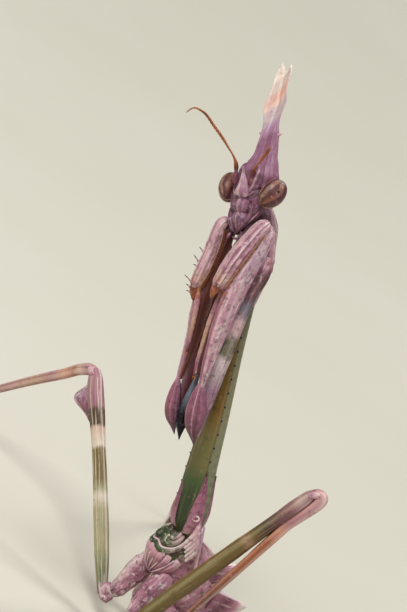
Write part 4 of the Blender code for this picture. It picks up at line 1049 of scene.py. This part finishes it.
def build_fore_legs():
    """Catching leg: a three-edged coxa, a bud-shaped trochanter whose point laps the femur, a
    femur with thorn rows, a ribbed tibia with a comb and a hooked claw, and a thin tarsus. Its
    angle counts from the ventral edge over the outer face, a quarter turn, to the inner face."""
    blade = unit(-SHIELD_BACK)
    for word, side in SIDES:
        def line(key, count):
            """Smooth path along one of this side's routes."""
            return curve(on_shield, count, *FORE_ROUTES[word][key])

        bud_wide, bud_deep, grown = (0.8, 0.6, 1.0) if side > 0 else (0.62, 0.44, 0.86)

        wide = spread(140, (0, 0.35), (0.05, 0.86), (0.12, 0.92), (0.22, 0.76), (0.6, 0.76),
                      (0.85, 0.62), (1, 0.25))
        thick = spread(140, (0, 0.35), (0.07, 0.6), (0.2, 0.5), (0.7, 0.42), (1, 0.22))
        edges = ((0, 0.12, 8), (180, 0.12, 8), (90, 0.16, 9), (45, 0.1, 6), (135, 0.1, 6),
                 (270, 0.1, 10), (65, -0.06, 7), (112, -0.08, 7))
        upper = tube(line("coxa", 140), blade, wide, thick, 72, edges, turned=-side, wave=0.03)
        sheets = [(upper, "coxa_fore")]
        for k, turn in enumerate((58, 70, 82, 94, 106)):
            root = laid(upper, [0.022 + 0.012 * (k % 2)], turn, -0.04)[0]
            sheets.append(cone("comb", root, root + 0.1 * side * SHIELD_LEFT, 0.07))
        roots = laid(upper, np.linspace(0.14, 0.86, 9), 4.0, -0.04)
        sheets += thorns("comb", roots, roots + 0.2 * blade - 0.05 * SHIELD_AIM, 0.05)
        skin(f"skin_fore_coxa_{word}", sheets, (f"fore_coxa_{word}",))

        outline = spread(90, (0, 0.03), (0.06, 0.16), (0.14, 0.36), (0.3, 0.82), (0.48, 1.0),
                         (0.66, 0.86), (0.82, 0.55), (0.94, 0.2), (1, 0.03))
        ribs = ((30, 0.1, 6), (75, 0.09, 6), (330, 0.08, 6), (130, 0.08, 7), (285, 0.07, 7),
                (52, -0.04, 8))
        bud = tube(line("bulb", 90), blade, bud_wide * outline, bud_deep * outline, 72, ribs,
                   turned=side)
        wide = grown * spread(180, (0, 0.2), (0.08, 0.4), (0.25, 0.66), (0.45, 0.94), (0.65, 1.02),
                              (0.82, 0.82), (0.92, 0.62), (0.97, 0.5), (1, 0.22))
        thick = spread(180, (0, 0.2), (0.12, 0.34), (0.4, 0.46), (0.75, 0.46), (0.9, 0.44),
                       (0.97, 0.42), (1, 0.2))
        edges = ((0, 0.1, 7), (180, 0.12, 8), (35, 0.08, 5), (62, 0.06, 5), (118, 0.07, 5),
                 (146, 0.07, 5), (240, 0.06, 8), (300, 0.08, 8), (90, -0.03, 10))
        thigh = tube(line("femur", 180), blade, wide, thick, 84, edges, turned=side, wave=0.02)
        sheets = [(bud, "bulb"), (thigh, "femur_fore")]
        # thorn rows along the ventral edge, long ones between short ones
        for turn, count in ((18.0, 16), (338.0, 12)):
            reach = np.where(np.arange(count) % 4 == 2, 0.5, 0.22)[:, None]
            roots = laid(thigh, np.linspace(0.5, 0.97, count), turn, -0.05)
            sheets += thorns("comb", roots, roots + reach * (blade - 0.35 * SHIELD_AIM), 0.06)
        if word == "right":
            spines = (((18.95, 3.45, -1.45), (19.3, 3.85, -1.62)),
                      ((18.25, 3.7, -1.45), (18.75, 4.25, -1.62)),
                      ((17.95, 3.85, -1.35), (18.1, 4.2, -1.5)),
                      ((16.95, 4.3, -1.25), (17.4, 4.95, -1.45)),
                      ((16.55, 4.3, -1.2), (16.75, 4.65, -1.35)),
                      ((16.2, 4.2, -1.15), (16.3, 4.55, -1.3)))
            sheets += [cone("spine", on_shield(*root), on_shield(*tip), 0.075, 0.03 * SHIELD_AIM, 14, 8)
                       for root, tip in spines]
            leaf = curve(on_shield, 60, (10.7, 3.0, 0.14), (10.0, 3.05, 0.14), (9.2, 3.12, 0.12),
                         (8.2, 3.2, 0.08), (7.2, 3.22, 0.03), (5.95, 3.1, 0.02))
            sheets.append(rod("ink", leaf, blade, 36, (0, 0.1), (0.2, 0.28), (0.45, 0.46), (0.65, 0.48),
                              (0.8, 0.34), (0.93, 0.12), (1, 0.02), flat=0.7,
                              ridges=((40, 0.14, 8), (320, 0.14, 8))))
        skin(f"skin_fore_femur_{word}", sheets, (f"fore_trochanter_{word}", f"fore_femur_{word}"))

        wide = grown * spread(130, (0, 0.3), (0.06, 0.44), (0.16, 0.5), (0.4, 0.66), (0.65, 0.7),
                              (0.85, 0.62), (0.95, 0.5), (1, 0.3))
        thick = grown * spread(130, (0, 0.3), (0.06, 0.42), (0.2, 0.5), (0.6, 0.54), (0.85, 0.5),
                               (0.95, 0.42), (1, 0.22))
        edges = ((0, 0.1, 9), (22, -0.06, 5), (42, 0.12, 5), (60, -0.05, 5), (78, 0.1, 5),
                 (94, -0.07, 5), (112, 0.08, 5), (180, 0.14, 8), (150, 0.06, 5), (270, 0.08, 8),
                 (250, -0.06, 6), (320, 0.1, 6), (300, -0.06, 6))
        rib = tube(line("tibia", 130), blade, wide, thick, 76, edges, turned=-side, wave=0.014)
        hook = rod("claw", line("claw", 30), SHIELD_LEFT, 18, (0, 0.46), (0.25, 0.36), (0.6, 0.18),
                   (1, 0.03))
        sheets = [(rib, "tibia_fore"), hook]
        for turn, count in ((104, 30), (122, 36)) if side > 0 else ((256, 36), (238, 30)):
            step = np.linspace(0.16, 0.93, count)
            tips = laid(rib, step, turn, 0.07) - 0.14 * blade - 0.06 * SHIELD_AIM
            sheets += thorns("comb", laid(rib, step, turn, -0.06), tips, 0.055)
        skin(f"skin_fore_tibia_{word}", sheets, (f"fore_tibia_{word}",))

        foot = line("tarsus", 90)
        beads = 1 + 0.12 * np.sin(TURN * 5 * grid(90, 1)[0]) ** 2
        half = beads * spread(90, (0, 0.2), (0.1, 0.2), (0.5, 0.16), (1, 0.1))
        sheets = [(tube(foot, blade, half, half, 18, ((60, 0.1, 12), (120, 0.1, 12)), turned=-side),
                   "tarsus_fore")]
        for lean in (1, -1):
            tip = foot[-1] - 0.3 * SHIELD_AIM + lean * 0.14 * SHIELD_LEFT
            sheets.append(cone("comb", foot[-3], tip, 0.06, 0.05 * blade))
        skin(f"skin_fore_tarsus_{word}", sheets, (f"fore_tarsus_{word}",))


def build_walking_legs():
    """Walking leg: hip, knob and ribbed femur in one skin, with a leaf lobe near the knee; a thin
    ribbed shin; a foot of five joints whose soles rest on the floor and two claws."""
    for rank, word in (("mid", "left"), ("mid", "right"), ("hind", "left"), ("hind", "right")):
        lines, near = [], on_thorax(4, 1, 0)
        for part, count in (("coxa", 8), ("trochanter", 6), ("femur", 12), ("tibia", 10),
                            ("tarsus", 12)):
            lines.append(line_of(f"{rank}_{part}_{word}", near, count))
            near = lines[-1][-1]
        hip_line, knob_line, thigh_line, shin_line, foot_line = lines
        f_aim, t_aim = unit(thigh_line[-1] - thigh_line[0]), unit(shin_line[-1] - shin_line[0])
        hinge = unit(np.cross(f_aim, t_aim))
        down = unit(t_aim - f_aim * (f_aim @ t_aim))
        foreground = (rank, word) == ("mid", "left")
        if rank == "mid":
            # the knee drawn in: millimetres back along the femur and down its shin's side
            drawn, pulled = ((0.38, 0.68), (0.79, 0.7)) if foreground else ((0.55, 0.2), (0.55, 0.0))
            grow = grid(len(thigh_line), 1)[0]
            thigh_line = thigh_line - grow * (drawn[0] * f_aim + drawn[1] * down)
            fade = np.linspace(1, 0, len(shin_line))[:, None]
            shin_line = shin_line - fade * (pulled[0] * f_aim + pulled[1] * down)

        edges = ((0, 0.08, 10), (90, 0.1, 10), (180, 0.08, 10), (270, 0.08, 10), (45, -0.07, 6),
                 (135, -0.07, 6), (225, -0.07, 6), (315, -0.07, 6))
        hip = through(longer(hip_line, 0.6, 0.35), 60)
        knob = through([hip_line[-1] - 0.1 * f_aim, *knob_line[1:-1], thigh_line[0] + 0.3 * f_aim], 30)
        sheets = [rod("hip", hip, hinge, 64, (0, 0.6), (0.25, 0.86), (0.7, 0.7), (0.92, 0.5),
                      (1, 0.25), flat=0.92, ridges=edges, wave=0.03)]
        sheets.append(rod("hip", knob, hinge, 28, (0, 0.36), (0.5, 0.46), (1, 0.34), ridges=edges))

        thigh = through(longer(thigh_line, 0.55, 0.4), 170)
        deep = spread(170, (0, 0.34), (0.08, 0.46), (0.25, 0.52), (0.55, 0.5), (0.8, 0.5), (0.92, 0.62),
                      (0.97, 0.58), (1, 0.35))
        if foreground:
            deep = deep * spread(170, (0, 1), (0.7, 1), (0.9, 0.8), (1, 0.62))
        wide = spread(170, (0, 0.3), (0.2, 0.44), (0.6, 0.4), (0.92, 0.46), (1, 0.28))
        edges = ((40, 0.12, 9), (140, 0.12, 9), (90, 0.05, 8), (220, 0.12, 9), (320, 0.12, 9),
                 (270, 0.06, 8))
        sheets.append((tube(thigh, hinge, wide, deep, 56, edges, wave=0.008),
                       "femur_near" if foreground else "femur_mid"))
        for turn in (1, -1):
            knots = [thigh[-6] + turn * 0.26 * hinge - 0.1 * down,
                     thigh[-1] + turn * 0.3 * hinge + 0.2 * down,
                     thigh[-1] + turn * 0.22 * hinge + 0.5 * down + 0.25 * f_aim]
            sheets.append(rod("fold", through(knots, 18), f_aim, 16, (0, 0.2), (0.5, 0.24), (1, 0.08),
                              flat=0.6))
        # leaf lobe below the last part of the femur, its rim ruffled
        first, last = 125, 160
        line = through([thigh[first] + 0.3 * down, thigh[(first + last) // 2] + 0.55 * down,
                        thigh[last] + 0.45 * down], 40)
        t, _, c, s = grid(40, 30)
        rim = (0.55 if foreground else 2.0) * rise(t, (0, 0.05), (0.3, 0.28), (0.6, 0.62), (0.8, 0.86),
                                                   (0.92, 1.0), (0.98, 0.86), (1, 0.4))
        ruffle = 0.16 * np.sin(11 * t) * rim
        sheets.append((loft(line, down, np.where(c > 0, rim, 0.3) * c, 0.1 * s + ruffle * (c > 0) * c),
                       "lobe"))
        skin(f"skin_{rank}_femur_{word}", sheets,
             (f"{rank}_coxa_{word}", f"{rank}_trochanter_{word}", f"{rank}_femur_{word}"))

        start = thigh_line[-1] + 0.28 * f_aim
        shin_line = shin_line - np.linspace(0.5, 0.0, len(shin_line))[:, None] * down
        shin = through([start, start + 0.25 * down + 0.16 * f_aim, *shin_line[2:-1], foot_line[0]], 120)
        edges = ((45, 0.12, 9), (135, 0.12, 9), (225, 0.12, 9), (315, 0.12, 9))
        sheets = [rod("shin_near" if foreground else "shin", shin, hinge, 40, (0, 0.32), (0.04, 0.42),
                      (0.15, 0.38), (0.3, 0.36), (0.6, 0.3), (0.9, 0.26), (0.97, 0.3), (1, 0.22),
                      wave=0.01, ridges=edges)]
        for turn in (1, -1):
            root = shin[-4] + turn * 0.2 * hinge
            sheets.append(cone("thorn", root, root + 0.55 * t_aim + turn * 0.2 * hinge, 0.07))
        skin(f"skin_{rank}_tibia_{word}", sheets, (f"{rank}_tibia_{word}",))

        foot = through([shin[-2], *foot_line[1:]], 120)
        t, _, c, s = grid(120, 28)
        half = 0.29 * (0.72 + 0.3 * ((t * 5.0) % 1.0) ** 1.5) * rise(t, (0, 0.85), (0.4, 1.0), (1, 0.9))
        way = unit(np.cross(foot_line[-1] - foot_line[-3], UP))
        toes = loft(foot, way, half * c, half * s)
        toes[..., 2] = np.maximum(toes[..., 2], 0.0)
        sheets = [(toes, "tarsus")]
        ahead = unit((foot_line[-1] - foot_line[-3]) * (1 - UP))
        for turn in (1, -1):
            tip = foot[-1] + 0.3 * ahead + turn * 0.3 * way - 0.12 * UP
            sheets.append(cone("thorn", foot[-4] + turn * 0.1 * way, tip, 0.09, 0.14 * UP, 9, 10))
        skin(f"skin_{rank}_tarsus_{word}", sheets, (f"{rank}_tarsus_{word}",))


# Stage ---------------------------------------------------------------------------------------------
VIEW_RIGHT = np.array([0.4557, 0.7001, 0.5498])
VIEW_UP = np.array([-0.5808, -0.2342, 0.7796])


def placed(name, data, spot, *axes):
    """A new object at a spot in metres, turned to three axes."""
    made = bpy.data.objects.new(name, data)
    turned = np.column_stack([*axes, spot])
    made.matrix_world = Matrix([*turned.tolist(), [0, 0, 0, 1]])
    bpy.context.scene.collection.objects.link(made)
    return made


def build_stage():
    """Studio, in metres: a floor whose far half is swept up along a quarter turn, three soft
    lights, and the camera at the animal's left front, rolled with the leaning neck."""
    settings, scene = bpy.context.scene.mantis, bpy.context.scene
    n, run, height, before, half_wide = 60, 2.4, 2.2, 1.2, 3.0
    s = np.linspace(0, 1, n)
    swept = np.clip(s - 0.5, 0, None) * math.pi
    depth = np.minimum(s, 0.5) * 2 * run - before + 0.45 * np.sin(swept)
    rows = depth[:, None] * aim(225.0, 0.0) + (height * (1 - np.cos(swept)))[:, None] * UP
    across = half_wide * aim(135.0, 0.0)
    mesh = bpy.data.meshes.new("floor")
    mesh.from_pydata(np.vstack([rows - across, rows + across]).tolist(), [],
                     [(k, k + 1, n + k + 1, n + k) for k in range(n - 1)])
    mesh.shade_smooth()
    look = bpy.data.materials.new("floor")
    look.use_nodes = True
    tree = look.node_tree
    patch = effect(tree, "Blotches", Size=60.0, Cover=0.5, Soft=0.4)[0]
    feed(tree, tree.nodes["Principled BSDF"],
         {"Base Color": over(tree, tone("cfcabb"), tone("c6c1ae"), patch), "Roughness": 0.9})
    mesh.materials.append(look)
    made = [placed("floor", mesh, np.zeros(3), *np.eye(3))]

    scene.view_settings.view_transform = "Standard"
    scene.world = bpy.data.worlds.new("studio")
    scene.world.use_nodes = True
    sky = scene.world.node_tree.nodes["Background"].inputs
    sky[0].default_value = (0.86, 0.9, 1.0, 1.0)
    sky[1].default_value = settings.fill

    centre = (HEAD + WAIST) / 2 * MM
    lights = (("key", 8.0, 52.0, 0.34, 1.0, 0.16), ("side", 105.0, 35.0, 0.4, 0.4, 0.25),
              ("rim", 200.0, 50.0, 0.4, 0.7, 0.15))
    for name, heading, elevation, far, share, width in lights:
        data = bpy.data.lights.new(name, "AREA")
        data.shape = "DISK"
        data.size = width
        data.energy = settings.key * share
        back = aim(heading, elevation)
        right = unit(np.cross(UP, back))
        made.append(placed(name, data, centre + far * back, right, np.cross(back, right), back))

    toward = np.cross(VIEW_RIGHT, VIEW_UP)
    aimed = WAIST + settings.shift_right * VIEW_RIGHT + settings.shift_up * VIEW_UP
    data = bpy.data.cameras.new("camera")
    data.sensor_width = 36.0
    data.lens = data.sensor_width * settings.distance / settings.field
    data.clip_start = 0.01
    data.clip_end = 20.0
    scene.camera = placed("camera", data, (aimed + settings.distance * toward) * MM, VIEW_RIGHT,
                          VIEW_UP, toward)


# Add-on ---------------------------------------------------------------------------------------------
class MantisSettings(bpy.types.PropertyGroup):
    """Camera and lights that can be set in the sidebar."""
    distance: FloatProperty(name="Camera distance", description="From the animal, in millimetres",
                            default=400.0, min=50.0)
    field: FloatProperty(name="View height",
                         description="Millimetres seen from top to bottom at the animal",
                         default=42.20689655, min=5.0)
    shift_right: FloatProperty(name="Aim right", description="From the waist to the middle of the view",
                               default=1.06896552)
    shift_up: FloatProperty(name="Aim up", description="From the waist to the middle of the view",
                            default=14.75862069)
    key: FloatProperty(name="Key light", description="Power in watts", default=0.95, min=0.0)
    fill: FloatProperty(name="Fill", description="Strength of the light from all round", default=0.38,
                        min=0.0)


class Builder:
    """What every operator shares: it runs its own builder, whose errors stop the script."""
    bl_options = {"REGISTER", "UNDO"}

    def execute(self, context):
        self.build()
        return {"FINISHED"}


class MANTIS_OT_head(Builder, bpy.types.Operator):
    """Head capsule with its plates, seams and mouth feelers"""
    bl_idname = "mantis.head"
    bl_label = "Head"
    build = staticmethod(build_head)


class MANTIS_OT_eyes(Builder, bpy.types.Operator):
    """Striped eyes with their dark spots"""
    bl_idname = "mantis.eyes"
    bl_label = "Eyes"
    build = staticmethod(build_eyes)


class MANTIS_OT_crown(Builder, bpy.types.Operator):
    """Forked crown on the head"""
    bl_idname = "mantis.crown"
    bl_label = "Crown"
    build = staticmethod(build_crown)


class MANTIS_OT_antennae(Builder, bpy.types.Operator):
    """Two thread-like feelers"""
    bl_idname = "mantis.antennae"
    bl_label = "Antennae"
    build = staticmethod(build_antennae)


class MANTIS_OT_shield(Builder, bpy.types.Operator):
    """Long neck shield with its front lobe"""
    bl_idname = "mantis.shield"
    bl_label = "Neck shield"
    build = staticmethod(build_shield)


class MANTIS_OT_thorax(Builder, bpy.types.Operator):
    """Winged thorax, breast plates, collar and wing pads"""
    bl_idname = "mantis.thorax"
    bl_label = "Thorax and wing pads"
    build = staticmethod(build_thorax)


class MANTIS_OT_abdomen(Builder, bpy.types.Operator):
    """Abdomen with leaf lobes and cerci"""
    bl_idname = "mantis.abdomen"
    bl_label = "Abdomen"
    build = staticmethod(build_abdomen)


class MANTIS_OT_fore_legs(Builder, bpy.types.Operator):
    """Catching legs with combs, claws and spines"""
    bl_idname = "mantis.fore_legs"
    bl_label = "Fore legs"
    build = staticmethod(build_fore_legs)


class MANTIS_OT_walking_legs(Builder, bpy.types.Operator):
    """Four walking legs with lobes and feet"""
    bl_idname = "mantis.walking_legs"
    bl_label = "Walking legs"
    build = staticmethod(build_walking_legs)


class MANTIS_OT_stage(Builder, bpy.types.Operator):
    """Floor, lights and camera"""
    bl_idname = "mantis.stage"
    bl_label = "Stage"
    build = staticmethod(build_stage)


OPERATORS = (MANTIS_OT_head, MANTIS_OT_eyes, MANTIS_OT_crown, MANTIS_OT_antennae, MANTIS_OT_shield,
             MANTIS_OT_thorax, MANTIS_OT_abdomen, MANTIS_OT_fore_legs, MANTIS_OT_walking_legs,
             MANTIS_OT_stage)


class MANTIS_PT_panel(bpy.types.Panel):
    """Sidebar panel with the settings and one button for each group of pieces"""
    bl_label = "Conehead mantis"
    bl_idname = "MANTIS_PT_panel"
    bl_space_type = "VIEW_3D"
    bl_region_type = "UI"
    bl_category = "Mantis"

    def draw(self, context):
        for key in MantisSettings.__annotations__:
            self.layout.prop(context.scene.mantis, key)
        for made in OPERATORS:
            self.layout.operator(made.bl_idname)


def register():
    """Adds the settings, the operators and the panel."""
    for made in (MantisSettings, *OPERATORS, MANTIS_PT_panel):
        bpy.utils.register_class(made)
    bpy.types.Scene.mantis = PointerProperty(type=MantisSettings)


def unregister():
    """Takes them away again."""
    del bpy.types.Scene.mantis
    for made in (MANTIS_PT_panel, *reversed(OPERATORS), MantisSettings):
        bpy.utils.unregister_class(made)


def main():
    """Builds every piece in order."""
    register()
    for made in OPERATORS:
        getattr(bpy.ops.mantis, made.bl_idname.split(".")[1])()


if __name__ == "__main__":
    main()
